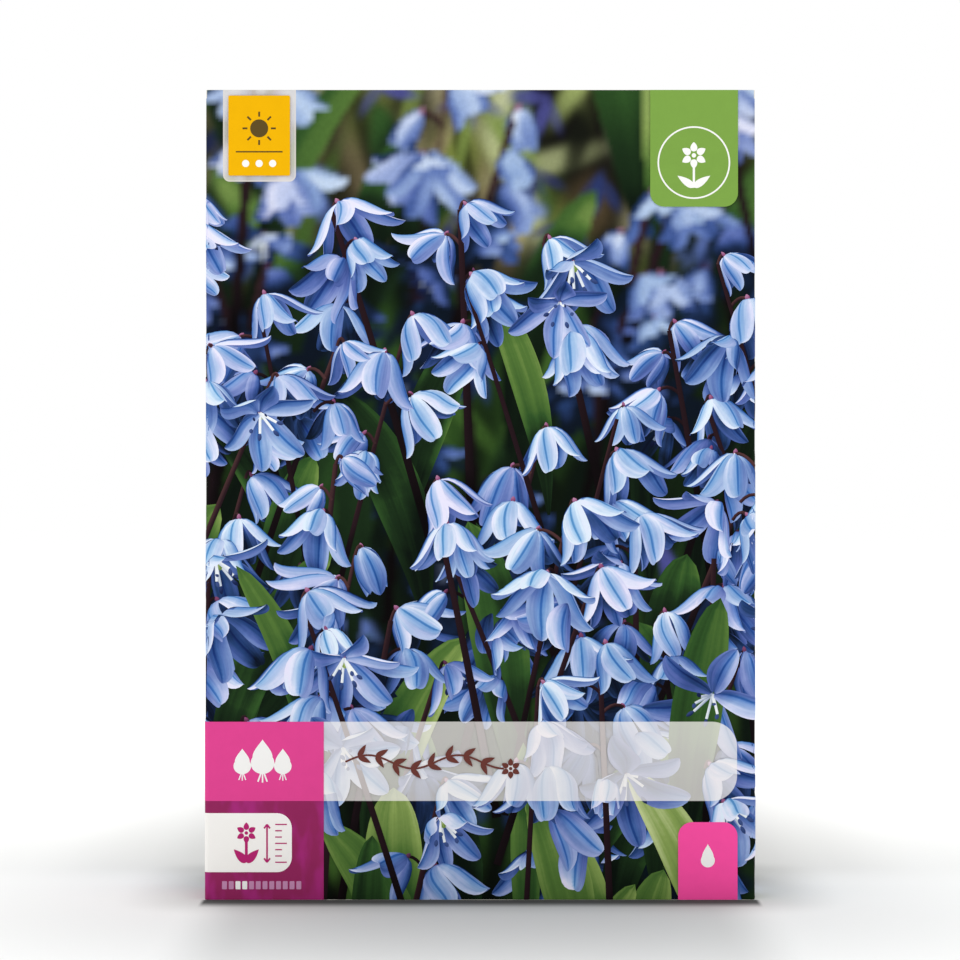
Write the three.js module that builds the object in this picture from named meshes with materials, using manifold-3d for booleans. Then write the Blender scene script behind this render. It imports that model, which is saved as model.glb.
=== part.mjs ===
// A folding carton for flower bulbs, in millimetres. +Z is up, the printed front faces -Y, and
// the origin is at the middle of the base. The carton is a glued sleeve with a glued bottom of two
// panels over two flaps, a tuck-in lid that hinges on the back wall, and two dust flaps under it
// that hinge on the side walls. Loose squill bulbs lie inside. Lid and dust flaps are closed.

import * as THREE from "three";
import { mergeVertices } from "three/addons/utils/BufferGeometryUtils.js";
import Module from "manifold-3d";

const wasm = await Module();
wasm.setup();

// Outside of the closed carton
const WIDTH = 122;
const HEIGHT = 180;
const DEPTH = 40;
const BOARD = 0.6; // board thickness
const GAP = 0.3; // between faces that touch
const CORNER_R = 0.8; // outside of the four upright creases
const CORNER_STEPS = 4;

const LAYER = BOARD + GAP; // from one board to the next where they lie on each other

// Lid: a panel with a tuck, which leans in to clear the front wall as it swings
const LID_HALF_WIDTH = WIDTH / 2 - GAP;
const TUCK_LENGTH = 13;
const TUCK_TAPER = 2.5; // the tuck is this much narrower on each side at its end
const TUCK_CORNER_R = 8;
const TUCK_LEAN = THREE.MathUtils.degToRad(12);

// Dust flaps: they open outwards as the lid lifts, so their back edge recedes from its hinge
const FLAP_REACH = 26; // from the side wall inwards
const FLAP_FRONT_INSET = 4.5; // from the front of the carton, clear of the swinging tuck
const FLAP_BACK_INSET = BOARD + GAP;
const FLAP_BACK_SLOPE = 0.62; // the back edge recedes by this share of the reach
const FLAP_BEVEL = 3;

// Bottom, from outside in: outer panel, inner panel, one flap on each side
const INNER_PANEL_REACH = 30; // from the front wall backwards
const BOTTOM_FLAP_REACH = 34;
const BOTTOM_FLAP_TAPER = 5;
const BOTTOM_LAYERS = 3;

// Glue flap inside the left wall, and ventilation holes in the back wall
const GLUE_WIDTH = 12;
const GLUE_END = 8; // distance from each end of the sleeve
const GLUE_TAPER = 5;
const GLUE_SINK = 0.1;
const HOLE_R = 3;
const HOLE_SIDES = 24;
const HOLE_COLUMNS = [-40, 0, 40];
const HOLE_ROWS = [30, 118];

// Bulbs
const BULB_COUNT = 50;
const BULB_R = [10, 10.9]; // radius of the ball that just holds one bulb
const BULB_SIDES = 12;
const BULB_GAP = 0.12;
const BULB_TRIES = 700;
const SEED = 20;

const board = new THREE.MeshStandardMaterial({ color: 0x8fa3cf, roughness: 0.45, metalness: 0 });
const tunic = new THREE.MeshStandardMaterial({ color: 0x6b4038, roughness: 0.6, metalness: 0 });

/** A closed geometry as a manifold-3d solid. */
function solidOf(geometry) {
  const bare = new THREE.BufferGeometry();
  bare.setAttribute("position", geometry.getAttribute("position"));
  bare.setIndex(geometry.getIndex());
  const merged = mergeVertices(bare, 1e-4);
  return new wasm.Manifold(
    new wasm.Mesh({
      numProp: 3,
      vertProperties: new Float32Array(merged.getAttribute("position").array),
      triVerts: new Uint32Array(merged.getIndex().array),
    }),
  );
}

/** A manifold-3d solid as a named mesh. */
function meshOf(name, solid, material) {
  const made = solid.getMesh();
  const geometry = new THREE.BufferGeometry();
  geometry.setAttribute("position", new THREE.BufferAttribute(made.vertProperties, 3));
  geometry.setIndex(new THREE.BufferAttribute(made.triVerts, 1));
  geometry.computeVertexNormals();
  const mesh = new THREE.Mesh(geometry, material);
  mesh.name = name;
  return mesh;
}

/** A box from its lowest to its highest corner. */
function block([x0, y0, z0], [x1, y1, z1]) {
  const box = new THREE.BoxGeometry(x1 - x0, y1 - y0, z1 - z0);
  return solidOf(box.translate((x0 + x1) / 2, (y0 + y1) / 2, (z0 + z1) / 2));
}

/** A flat sheet of board: an outline in its own XY plane, extruded upwards by the board's thickness. */
function sheet(outline) {
  return new THREE.ExtrudeGeometry(outline, { depth: BOARD, bevelEnabled: false, curveSegments: 6 });
}

/** A rectangle about the origin with rounded corners. */
function roundedRectangle(Path, width, depth, r) {
  const x = width / 2;
  const y = depth / 2;
  const path = new Path();
  path.moveTo(-x + r, -y);
  path.lineTo(x - r, -y);
  path.absarc(x - r, -y + r, r, -Math.PI / 2, 0);
  path.lineTo(x, y - r);
  path.absarc(x - r, y - r, r, 0, Math.PI / 2);
  path.lineTo(-x + r, y);
  path.absarc(-x + r, y - r, r, Math.PI / 2, Math.PI);
  path.lineTo(-x, -y + r);
  path.absarc(-x + r, -y + r, r, Math.PI, 1.5 * Math.PI);
  return path;
}

/** Four walls in one tube, with the glue flap and the ventilation holes. */
function makeSleeve() {
  const outline = roundedRectangle(THREE.Shape, WIDTH, DEPTH, CORNER_R);
  const inside = [WIDTH - 2 * BOARD, DEPTH - 2 * BOARD, CORNER_R - BOARD];
  outline.holes.push(roundedRectangle(THREE.Path, ...inside));
  const tube = { depth: HEIGHT, bevelEnabled: false, curveSegments: CORNER_STEPS };
  let sleeve = solidOf(new THREE.ExtrudeGeometry(outline, tube));
  const x = WIDTH / 2;
  const y = DEPTH / 2;
  const past = 1; // how far a cutter runs past what it cuts
  const cuts = [
    // all four walls stand on the bottom's outer panel
    block([-x - past, -y - past, -past], [x + past, y + past, LAYER]),
    // the back wall ends under the lid, the side walls under the dust flaps
    block([-x - past, y - CORNER_R, HEIGHT - LAYER], [x + past, y + past, HEIGHT + past]),
    block([-x - past, -y + BOARD, HEIGHT - 2 * LAYER], [-x + CORNER_R, y - BOARD, HEIGHT + past]),
    block([x - CORNER_R, -y + BOARD, HEIGHT - 2 * LAYER], [x + past, y - BOARD, HEIGHT + past]),
  ];
  for (const column of HOLE_COLUMNS)
    for (const row of HOLE_ROWS) {
      const drill = new THREE.CylinderGeometry(HOLE_R, HOLE_R, 4 * BOARD, HOLE_SIDES);
      cuts.push(solidOf(drill.translate(column, y - BOARD / 2, row)));
    }
  for (const cut of cuts) sleeve = sleeve.subtract(cut);
  return sleeve.add(makeGlueFlap());
}

/** The strip of the back wall that is glued inside the left wall, its ends tapered. */
function makeGlueFlap() {
  const outline = new THREE.Shape();
  outline.moveTo(0, GLUE_END);
  outline.lineTo(GLUE_WIDTH, GLUE_END + GLUE_TAPER);
  outline.lineTo(GLUE_WIDTH, HEIGHT - GLUE_END - GLUE_TAPER);
  outline.lineTo(0, HEIGHT - GLUE_END);
  const strip = sheet(outline)
    .rotateX(Math.PI / 2)
    .rotateZ(-Math.PI / 2);
  const inner = WIDTH / 2 - BOARD;
  return solidOf(strip.translate(-inner + BOARD - GLUE_SINK, DEPTH / 2 - BOARD, 0));
}

/** The lid and its tuck in one, hinged at the back, its top at z = 0. */
function makeLid() {
  const front = -DEPTH / 2 + LAYER;
  const panel = block([-LID_HALF_WIDTH, front, -BOARD], [LID_HALF_WIDTH, DEPTH / 2, 0]);
  const end = LID_HALF_WIDTH - TUCK_TAPER;
  const bend = TUCK_CORNER_R;
  const outline = new THREE.Shape();
  outline.moveTo(-LID_HALF_WIDTH, 0);
  outline.lineTo(-end, -TUCK_LENGTH + bend);
  outline.quadraticCurveTo(-end, -TUCK_LENGTH, -end + bend, -TUCK_LENGTH);
  outline.lineTo(end - bend, -TUCK_LENGTH);
  outline.quadraticCurveTo(end, -TUCK_LENGTH, end, -TUCK_LENGTH + bend);
  outline.lineTo(LID_HALF_WIDTH, 0);
  const tuck = sheet(outline).rotateX(Math.PI / 2).translate(0, BOARD, 0);
  tuck.rotateX(TUCK_LEAN).translate(0, front, -BOARD * Math.sin(TUCK_LEAN));
  return panel.add(solidOf(tuck));
}

/** A dust flap for the right side, hinged at x = 0 and reaching towards -X. */
function makeDustFlap() {
  const front = -DEPTH / 2 + FLAP_FRONT_INSET;
  const back = DEPTH / 2 - FLAP_BACK_INSET;
  const outline = new THREE.Shape();
  outline.moveTo(0, front);
  outline.lineTo(0, back);
  outline.lineTo(-FLAP_REACH, back - FLAP_BACK_SLOPE * FLAP_REACH);
  outline.lineTo(-FLAP_REACH, front + FLAP_BEVEL);
  outline.lineTo(-FLAP_REACH + FLAP_BEVEL, front);
  return solidOf(sheet(outline));
}

/** The bottom's outer panel: the full base, from the back wall to the front edge. */
function makeOuterPanel() {
  const half = WIDTH / 2 - GAP;
  return block([-half, -DEPTH / 2, 0], [half, DEPTH / 2, BOARD]);
}

/** The bottom's inner panel: it comes from the front wall and is glued on the outer one. */
function makeInnerPanel() {
  const half = WIDTH / 2 - LAYER;
  const front = -DEPTH / 2 + LAYER;
  return block([-half, front, 0], [half, front + INNER_PANEL_REACH, BOARD]);
}

/** A bottom flap for the right side: it comes from the wall at x = 0 and is glued on the panels. */
function makeBottomFlap() {
  const half = DEPTH / 2 - LAYER;
  const outline = new THREE.Shape();
  outline.moveTo(0, -half);
  outline.lineTo(0, half);
  outline.lineTo(-BOTTOM_FLAP_REACH, half - BOTTOM_FLAP_TAPER);
  outline.lineTo(-BOTTOM_FLAP_REACH, -half + BOTTOM_FLAP_TAPER);
  return solidOf(sheet(outline));
}

/** A repeatable stream of numbers from 0 to 1. */
function randomStream(seed) {
  let state = seed;
  return () => {
    state = (state + 0x6d2b79f5) | 0;
    let mixed = Math.imul(state ^ (state >>> 15), 1 | state);
    mixed = (mixed + Math.imul(mixed ^ (mixed >>> 7), 61 | mixed)) ^ mixed;
    return ((mixed ^ (mixed >>> 14)) >>> 0) / 4294967296;
  };
}

/** How high a ball of radius r stops when it is let down at (x, y) onto the balls below it. */
function restingHeight(balls, x, y, r, floor) {
  let height = floor + r;
  for (const ball of balls) {
    const reach = ball.r + r + BULB_GAP;
    const aside = Math.hypot(ball.x - x, ball.y - y);
    if (aside < reach) height = Math.max(height, ball.z + Math.sqrt(reach ** 2 - aside ** 2));
  }
  return height;
}

/** Fills the carton ball by ball: each one takes the lowest of many random places. */
function fillWithBalls() {
  const random = randomStream(SEED);
  const wall = BOARD + GAP;
  const low = [-WIDTH / 2 + wall + BOARD, -DEPTH / 2 + wall + BOARD + GAP];
  const high = [WIDTH / 2 - wall, DEPTH / 2 - wall];
  const floor = BOTTOM_LAYERS * LAYER;
  const balls = [];
  for (let i = 0; i < BULB_COUNT; i++) {
    const r = THREE.MathUtils.lerp(BULB_R[0], BULB_R[1], random());
    let best = null;
    for (let tries = 0; tries < BULB_TRIES; tries++) {
      const x = THREE.MathUtils.lerp(low[0] + r, high[0] - r, random());
      const y = THREE.MathUtils.lerp(low[1] + r, high[1] - r, random());
      const z = restingHeight(balls, x, y, r, floor);
      if (!best || z < best.z) best = { x, y, z, r };
    }
    const turn = new THREE.Euler(...[0, 0, 0].map(() => 2 * Math.PI * random()));
    balls.push({ ...best, turn });
  }
  return balls;
}

/** A squill bulb in a ball of radius 1: a flat root plate, a round belly and a short pointed nose. */
function bulbGeometry() {
  const profile = [
    [0, -0.9],
    [0.36, -0.9],
    [0.72, -0.66],
    [0.93, -0.22],
    [0.95, 0.12],
    [0.8, 0.46],
    [0.48, 0.78],
    [0.14, 0.985],
    [0, 0.985],
  ].map(([r, z]) => new THREE.Vector2(r, z));
  return new THREE.LatheGeometry(profile, BULB_SIDES).rotateX(Math.PI / 2);
}

/** All the bulbs, each its own solid. */
function makeBulbs() {
  const geometry = bulbGeometry();
  return fillWithBalls().map(({ x, y, z, r, turn }, i) => {
    const mesh = new THREE.Mesh(geometry, tunic);
    mesh.name = "bulb_" + String(i + 1).padStart(2, "0");
    mesh.position.set(x, y, z);
    mesh.rotation.copy(turn);
    mesh.scale.setScalar(r);
    return mesh;
  });
}

const carton = new THREE.Group();
carton.add(meshOf("sleeve", makeSleeve(), board));
carton.add(meshOf("bottom_outer_panel", makeOuterPanel(), board));

const innerPanel = meshOf("bottom_inner_panel", makeInnerPanel(), board);
innerPanel.position.z = LAYER;
carton.add(innerPanel);

const lid = meshOf("lid", makeLid(), board);
lid.position.z = HEIGHT;
carton.add(lid);

for (const [word, side] of Object.entries({ left: -1, right: 1 })) {
  const turned = (solid) => (side > 0 ? solid : solid.mirror([1, 0, 0]));
  const dustFlap = meshOf("dust_flap_" + word, turned(makeDustFlap()), board);
  dustFlap.position.set((side * WIDTH) / 2, 0, HEIGHT - LAYER - BOARD);
  const bottomFlap = meshOf("bottom_flap_" + word, turned(makeBottomFlap()), board);
  bottomFlap.position.set(side * (WIDTH / 2 - LAYER), 0, 2 * LAYER);
  carton.add(dustFlap, bottomFlap);
}

carton.add(...makeBulbs());

export default carton;
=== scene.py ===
"""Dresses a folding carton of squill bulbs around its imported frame.

The carton is folding board with a printed outside: a picture of squill in flower, colour blocks
and plain pictograms. The picture is made of thin cut-outs. Petals, leaves and stems are bent in
depth, lit there, and pressed flat on the board in the order in which they cover each other.
"""

from __future__ import annotations

import logging
import math
from bisect import bisect_right
from dataclasses import dataclass, field
from enum import Enum
from random import Random
from typing import Callable, Iterable

import bmesh
import bpy
import numpy as np
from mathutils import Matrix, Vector


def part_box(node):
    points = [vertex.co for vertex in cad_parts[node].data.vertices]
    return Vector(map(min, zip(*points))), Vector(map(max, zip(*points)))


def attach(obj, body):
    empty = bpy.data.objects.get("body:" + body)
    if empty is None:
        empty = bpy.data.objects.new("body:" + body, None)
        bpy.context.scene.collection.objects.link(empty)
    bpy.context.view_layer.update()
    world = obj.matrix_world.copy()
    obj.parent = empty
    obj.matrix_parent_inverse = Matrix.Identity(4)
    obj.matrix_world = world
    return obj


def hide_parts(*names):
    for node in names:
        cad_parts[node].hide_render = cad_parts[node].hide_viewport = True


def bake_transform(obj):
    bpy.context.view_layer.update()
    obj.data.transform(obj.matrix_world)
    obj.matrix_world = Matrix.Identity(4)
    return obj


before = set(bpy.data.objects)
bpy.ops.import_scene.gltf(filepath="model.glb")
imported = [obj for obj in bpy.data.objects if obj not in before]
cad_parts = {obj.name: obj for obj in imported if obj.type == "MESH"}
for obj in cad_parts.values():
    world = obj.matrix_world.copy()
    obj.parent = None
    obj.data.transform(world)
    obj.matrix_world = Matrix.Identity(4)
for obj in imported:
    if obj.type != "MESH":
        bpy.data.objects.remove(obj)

log = logging.getLogger("carton")
logging.basicConfig(level=logging.INFO, format="%(name)s: %(message)s")

MM = 0.001
Array = np.ndarray
Colour = tuple[float, float, float, float]
Material = bpy.types.Material
Mesh = bmesh.types.BMesh
Piece = bpy.types.Object
Place = tuple[float, float, float]
Point = tuple[float, float]


def ink(code: str) -> Colour:
    """Turns a colour as it looks on a screen into linear light.

    Args:
        code: The colour as six hexadecimal digits after a hash.

    Returns:
        Red, green, blue and an alpha of one.
    """
    parts = [int(code[i : i + 2], 16) / 255 for i in (1, 3, 5)]
    linear = [c / 12.92 if c <= 0.04045 else ((c + 0.055) / 1.055) ** 2.4 for c in parts]
    return (*linear, 1.0)


def mm(*values: float) -> tuple[float, ...]:
    """Turns millimetres into metres."""
    return tuple(v * MM for v in values)


# Materials: a small language for shader nodes
# --------------------------------------------


class Wire:
    """A value in a material: an output socket on which Python's operators add Math nodes."""

    def __init__(self, nodes: Nodes, socket: bpy.types.NodeSocket) -> None:
        """Wraps one output socket of a material's node."""
        self.nodes = nodes
        self.socket = socket

    def _math(self, operation: str, *values: Wire | float) -> Wire:
        """Adds one Math node on the values and returns its result."""
        settings = {"operation": operation}
        return self.nodes.add("ShaderNodeMath", settings, dict(enumerate(values)))

    def __add__(self, other: Wire | float) -> Wire:
        """Self plus other."""
        return self._math("ADD", self, other)

    __radd__ = __add__

    def __sub__(self, other: Wire | float) -> Wire:
        """Self minus other."""
        return self._math("SUBTRACT", self, other)

    def __rsub__(self, other: float) -> Wire:
        """Other minus self."""
        return self._math("SUBTRACT", other, self)

    def __mul__(self, other: Wire | float) -> Wire:
        """Self times other."""
        return self._math("MULTIPLY", self, other)

    __rmul__ = __mul__

    def __pow__(self, other: Wire | float) -> Wire:
        """Self to the power of other."""
        return self._math("POWER", self, other)

    def __abs__(self) -> Wire:
        """Self without its sign."""
        return self._math("ABSOLUTE", self)

    def least(self, other: Wire | float) -> Wire:
        """The smaller of two values."""
        return self._math("MINIMUM", self, other)

    def most(self, other: Wire | float) -> Wire:
        """The larger of two values."""
        return self._math("MAXIMUM", self, other)

    def step(self, start: float, end: float) -> Wire:
        """Runs smoothly from 0 to 1 as self goes from a start to an end.

        Args:
            start: Where it is 0.
            end: Where it is 1, which may be below the start.

        Returns:
            The share.
        """
        settings = {"interpolation_type": "SMOOTHSTEP"}
        if start < end:
            return self.nodes.add("ShaderNodeMapRange", settings, {0: self, 1: start, 2: end})
        return 1 - self.nodes.add("ShaderNodeMapRange", settings, {0: self, 1: end, 2: start})


class Nodes:
    """Builds the nodes of one material."""

    def __init__(self, name: str) -> None:
        """Starts an empty material with that name."""
        self.material = bpy.data.materials.new(name)
        self.material.use_nodes = True
        self.tree = self.material.node_tree
        self.tree.nodes.clear()

    def add(
        self, kind: str, settings: dict[str, object] | None = None,
        sockets: dict[int | str, object] | None = None, output: int | str = 0,
    ) -> Wire:
        """Adds one node.

        Args:
            kind: The node's type name.
            settings: Its properties; "stops" are a ramp's places and colours.
            sockets: What its inputs hold, by index or name: a number, a colour or a wire.
            output: The output to return, by index or name.

        Returns:
            The wire that comes out of it.
        """
        node = self.tree.nodes.new(kind)
        for key, value in (settings or {}).items():
            if key == "stops":
                self._set_stops(node.color_ramp, value)
            else:
                setattr(node, key, value)
        for key, value in (sockets or {}).items():
            if isinstance(value, Wire):
                self.tree.links.new(value.socket, node.inputs[key])
            else:
                node.inputs[key].default_value = value
        return Wire(self, node.outputs[output])

    @staticmethod
    def _set_stops(ramp: bpy.types.ColorRamp, stops: Iterable[tuple[float, str]]) -> None:
        """Gives a ramp its stops, in place of the two that it starts with.

        Args:
            ramp: The ramp.
            stops: Each stop's place and colour.
        """
        while len(ramp.elements) > 1:
            ramp.elements.remove(ramp.elements[-1])
        for i, (place, code) in enumerate(stops):
            element = ramp.elements[0] if i == 0 else ramp.elements.new(place)
            element.position = place
            element.color = ink(code)

    def mix(self, first: object, second: object, share: object, blend: str = "MIX") -> Wire:
        """Mixes two colours, by a share of the second."""
        settings = {"data_type": "RGBA", "blend_type": blend}
        return self.add("ShaderNodeMix", settings, {0: share, 6: first, 7: second}, output=2)

    def ramp(self, value: Wire, stops: Iterable[tuple[float, str]]) -> Wire:
        """Reads a colour from a ramp."""
        return self.add("ShaderNodeValToRGB", {"stops": stops}, {0: value})

    def place(self) -> tuple[Wire, Wire, Wire]:
        """The three object coordinates of a point, in metres."""
        return self.parts(self.add("ShaderNodeTexCoord", output="Object"))

    def parts(self, vector: Wire) -> tuple[Wire, Wire, Wire]:
        """The three parts of a vector."""
        outputs = self.add("ShaderNodeSeparateXYZ", sockets={0: vector}).socket.node.outputs
        return tuple(Wire(self, outputs[i]) for i in range(3))

    def noise(self, scale: float, detail: float, stretch: Place = (1, 1, 1)) -> Wire:
        """Noise from 0 to 1 on object coordinates.

        Args:
            scale: Waves per metre.
            detail: How many finer waves lie on it.
            stretch: A factor on the scale along each axis.

        Returns:
            The noise's value.
        """
        point = self.add("ShaderNodeTexCoord", output="Object")
        stretched = self.add("ShaderNodeMapping", sockets={0: point, 3: stretch})
        sockets = {0: stretched, "Scale": scale, "Detail": detail}
        return self.add("ShaderNodeTexNoise", sockets=sockets)

    def streaks(self, place: Iterable[Wire], detail: float) -> Wire:
        """Noise from -0.5 to 0.5 that has three wires as its coordinates."""
        point = self.add("ShaderNodeCombineXYZ", sockets=dict(enumerate(place)))
        return self.add("ShaderNodeTexNoise", sockets={0: point, "Scale": 1.0, "Detail": detail}) - 0.5

    def bump(self, height: Wire, distance: float, strength: float) -> Wire:
        """A normal that follows a height of that many metres."""
        sockets = {"Strength": strength, "Distance": distance, "Height": height}
        return self.add("ShaderNodeBump", sockets=sockets)

    def surface(self, **sockets: object) -> Material:
        """Ends the material in a Principled shader.

        Args:
            sockets: What its inputs hold, by name, with _ for a space.

        Returns:
            The material.
        """
        named = {key.replace("_", " "): value for key, value in sockets.items()}
        shader = self.add("ShaderNodeBsdfPrincipled", sockets=named)
        output = self.tree.nodes.new("ShaderNodeOutputMaterial")
        self.tree.links.new(shader.socket, output.inputs[0])
        return self.material


# The printed front's layout
# --------------------------


@dataclass(frozen=True)
class Area:
    """A rectangle on the unrolled carton, in metres.

    Its s runs to the right from the front's middle, and its z up from the carton's foot.
    """

    left: float
    right: float
    low: float
    high: float
    corner: float = 0.0

    @classmethod
    def mm(cls, left: float, right: float, low: float, high: float, corner: float = 0.0) -> Area:
        """Makes an area from sizes in millimetres."""
        return cls(left * MM, right * MM, low * MM, high * MM, corner * MM)

    @property
    def middle(self) -> Point:
        """Its centre."""
        return (self.left + self.right) / 2, (self.low + self.high) / 2

    def at(self, across: float, up: float) -> Point:
        """The point at these shares of its width and height."""
        return (self.left + (self.right - self.left) * across, self.low + (self.high - self.low) * up)


TOP = 180 * MM
SIDE_TOP = 178.2 * MM
BACK_TOP = 179.1 * MM
FOOT = 0.08 * MM
LID_BACK = 219.7 * MM
LOGO_TAB = Area.mm(-57.2, -41.0, 159.6, 219.7, 1.5)
LOGO_FIELD = Area.mm(-56.0, -42.3, 160.9, 178.7, 0.3)
GREEN_TAB = Area.mm(37.7, 57.2, 154.0, 219.7, 3.1)
COUNT_BLOCK = Area.mm(-76.0, -34.8, 22.0, 39.6)
SEASON_BLOCK = Area.mm(-76.0, -34.8, 0.0, 22.0)
ICON_PANEL = Area.mm(-73.0, -41.9, 6.2, 19.3, 3.3)
TITLE_BAND = Area.mm(-45.0, 57.0, 22.0, 39.6, 5.6)
CLASS_TAB = Area.mm(43.9, 57.1, -6.0, 17.3, 3.1)
BACK_PANEL = Area.mm(-53.0, 53.0, 9.0, 171.0, 4.0)


@dataclass(frozen=True)
class Veil:
    """A flat layer of ink over the picture on the front or the back; the picture may show through.

    Its share counts in tones as the eye sees them, so that what is dark stays dark under it, and
    its rim is what the share gains along its edge. It lies only on its own wall, which is told
    by the depth of a point.
    """

    area: Area
    colour: str
    share: float
    rim: float = 0.0
    back: bool = False
    gamma: float = 2.2
    edge: float = 0.05 * MM
    rim_band: tuple[float, ...] = mm(-0.45, -0.15)
    wall: tuple[float, ...] = mm(19.4, 19.8)

    def over(self, nodes: Nodes, colour: Wire, at: tuple[Wire, Wire, Wire]) -> Wire:
        """Mixes the veil into a colour where a point lies in its area.

        Args:
            nodes: The material's nodes.
            colour: The picture's colour.
            at: The point's object coordinates.

        Returns:
            The colour with the veil over it.
        """
        x, y, z = at
        area, corner = self.area, self.area.corner
        aside = abs(x - area.middle[0]) - ((area.right - area.left) / 2 - corner)
        above = abs(z - area.middle[1]) - ((area.high - area.low) / 2 - corner)
        outside = (aside.most(0) ** 2 + above.most(0) ** 2) ** 0.5
        distance = outside + aside.most(above).least(0) - corner
        outward = y if self.back else y * -1
        mask = distance.step(self.edge, -self.edge) * outward.step(*self.wall)
        pale = tuple(c ** (1 / self.gamma) for c in ink(self.colour))
        seen = nodes.add("ShaderNodeGamma", sockets={0: colour, 1: 1 / self.gamma})
        share = self.share
        if self.rim:
            share = distance.step(*self.rim_band) * self.rim + share
        seen = nodes.mix(seen, pale, share)
        veiled = nodes.add("ShaderNodeGamma", sockets={0: seen, 1: self.gamma})
        return nodes.mix(colour, veiled, mask)


FRONT_VEILS = (Veil(TITLE_BAND, "#F8F3F0", 0.745), Veil(LOGO_TAB, "#DCD6D0", 0.79, 0.14))
BACK_FIELD = Veil(BACK_PANEL, "#F1F0ED", 1.0, back=True)


# Finishes
# --------


MATT = {"Roughness": 0.46, "Specular_IOR_Level": 0.03}
WARMER = (1.1, 0.92, 1.0, 1.0)


class Motif(Enum):
    """What a cut-out of the picture shows; its value is the order of the material slots."""

    PETAL = 0
    LEAF = 1
    STEM = 2
    FILAMENT = 3
    ANTHER = 4
    KNOT = 5


@dataclass(frozen=True)
class PictureInk:
    """The ink of one kind of cut-out: tones from shade to light, and a line along its middle.

    A lift is what a tone gains along the middle, at the edges or at the base. Streaks, veins and
    grain are how far the noise moves it, from coarse to fine.
    """

    name: str
    tones: tuple[tuple[float, str], ...]
    line_tones: tuple[tuple[float, str], ...] = ()
    core_tones: tuple[tuple[float, str], ...] = ()
    line_width: float = 0.0
    line_share: float = 0.0
    rib_lift: float = 0.0
    edge_lift: float = 0.0
    base_lift: float = 0.0
    streaks: float = 0.0
    veins: float = 0.0
    grain: float = 0.03

    def material(self) -> Material:
        """Builds the ink's material."""
        nodes = Nodes(self.name)
        across, along, _ = nodes.parts(nodes.add("ShaderNodeUVMap", {"uv_map": "blade"}))
        light = nodes.add("ShaderNodeAttribute", {"attribute_name": "light"}, output="Vector")
        shade, hue, chance = nodes.parts(light)
        streak = nodes.streaks((across * 4.2, along * 1.7, chance * 60), 4.0)
        off_middle = abs(across - 0.5 + streak * 0.09) * 2
        line = off_middle.step(self.line_width, 0.0) if self.line_width else None
        tone = shade + (nodes.noise(1100, 3) - 0.5) * self.grain + streak * self.streaks
        if self.veins:
            vein = nodes.streaks((across * 15.0, along * 1.1, chance * 90), 2.0)
            tone = tone + vein * self.veins
        if self.edge_lift:
            tone = tone + off_middle.step(0.55, 0.9) * self.edge_lift
        if self.base_lift:
            tone = tone + along.step(0.28, 0.0) * self.base_lift
        if self.rib_lift:
            tone = tone + line * self.rib_lift
        colour = nodes.ramp(tone, self.tones)
        if self.line_share:
            ends = along.step(0.0, 0.2) * along.step(1.0, 0.8)
            band = nodes.ramp(tone, self.line_tones)
            core = nodes.ramp(tone, self.core_tones)
            thin = off_middle.step(0.14, 0.04)
            colour = nodes.mix(colour, band, line * ends * self.line_share)
            colour = nodes.mix(colour, core, thin * ends * 0.85)
            hue = (hue + streak * 2.4 + off_middle.step(0.4, 1.0) * 0.25).most(0).least(1)
        colour = nodes.mix(colour, WARMER, hue, "MULTIPLY")
        at = nodes.place()
        for veil in FRONT_VEILS:
            colour = veil.over(nodes, colour, at)
        return nodes.surface(Base_Color=colour, **MATT)

    def read(self, tone: Array, off_middle: Array) -> Array:
        """Reads colours without nodes, for what is out of focus.

        Args:
            tone: Tones from 0 to 1.
            off_middle: Each one's distance from its blade's middle, 1 at the edge.

        Returns:
            A row of red, green and blue for each tone.
        """
        tone = tone + np.clip(1 - off_middle / 0.4, 0, 1) * self.rib_lift
        places = [place for place, _ in self.tones]
        colours = np.array([ink(code)[:3] for _, code in self.tones])
        return np.stack([np.interp(tone, places, colours[:, i]) for i in range(3)], axis=1)


PICTURE_INKS = {
    Motif.PETAL: PictureInk(
        "petal_ink",
        (
            (0.0, "#08131F"), (0.12, "#152542"), (0.25, "#243D6A"), (0.38, "#3C5591"),
            (0.5, "#546EAC"), (0.62, "#708ABF"), (0.74, "#8EA8D3"), (0.86, "#B0C7E6"),
            (1.0, "#DCEBF8"),
        ),
        line_tones=((0.0, "#0A1730"), (0.3, "#284E92"), (0.6, "#5792D2"), (1.0, "#9AD2F4")),
        core_tones=((0.0, "#060C1E"), (0.3, "#163070"), (0.6, "#255CA6"), (1.0, "#4590C8")),
        line_width=0.62,
        line_share=0.6,
        rib_lift=-0.12,
        edge_lift=0.08,
        base_lift=0.08,
        streaks=0.3,
        veins=0.16,
        grain=0.045,
    ),
    Motif.LEAF: PictureInk(
        "leaf_ink",
        (
            (0.0, "#07110A"), (0.25, "#192E17"), (0.45, "#2F5125"), (0.65, "#517234"),
            (0.85, "#869E54"), (1.0, "#BFCC90"),
        ),
        line_width=0.3,
        rib_lift=0.06,
        edge_lift=0.09,
        streaks=0.2,
        veins=0.14,
        grain=0.05,
    ),
    Motif.STEM: PictureInk(
        "stem_ink",
        ((0.0, "#060304"), (0.4, "#140B0F"), (0.7, "#28171D"), (1.0, "#563838")),
    ),
    Motif.FILAMENT: PictureInk(
        "filament_ink",
        ((0.0, "#1B2540"), (0.45, "#8F9DB8"), (0.75, "#DCE3EA"), (1.0, "#F8FBFC")),
    ),
    Motif.ANTHER: PictureInk("anther_ink", ((0.0, "#05071A"), (0.5, "#18234C"), (1.0, "#455A92"))),
    Motif.KNOT: PictureInk(
        "knot_ink",
        ((0.0, "#160B14"), (0.4, "#4A2741"), (0.7, "#8F4F78"), (1.0, "#C896B6")),
    ),
}


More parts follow.
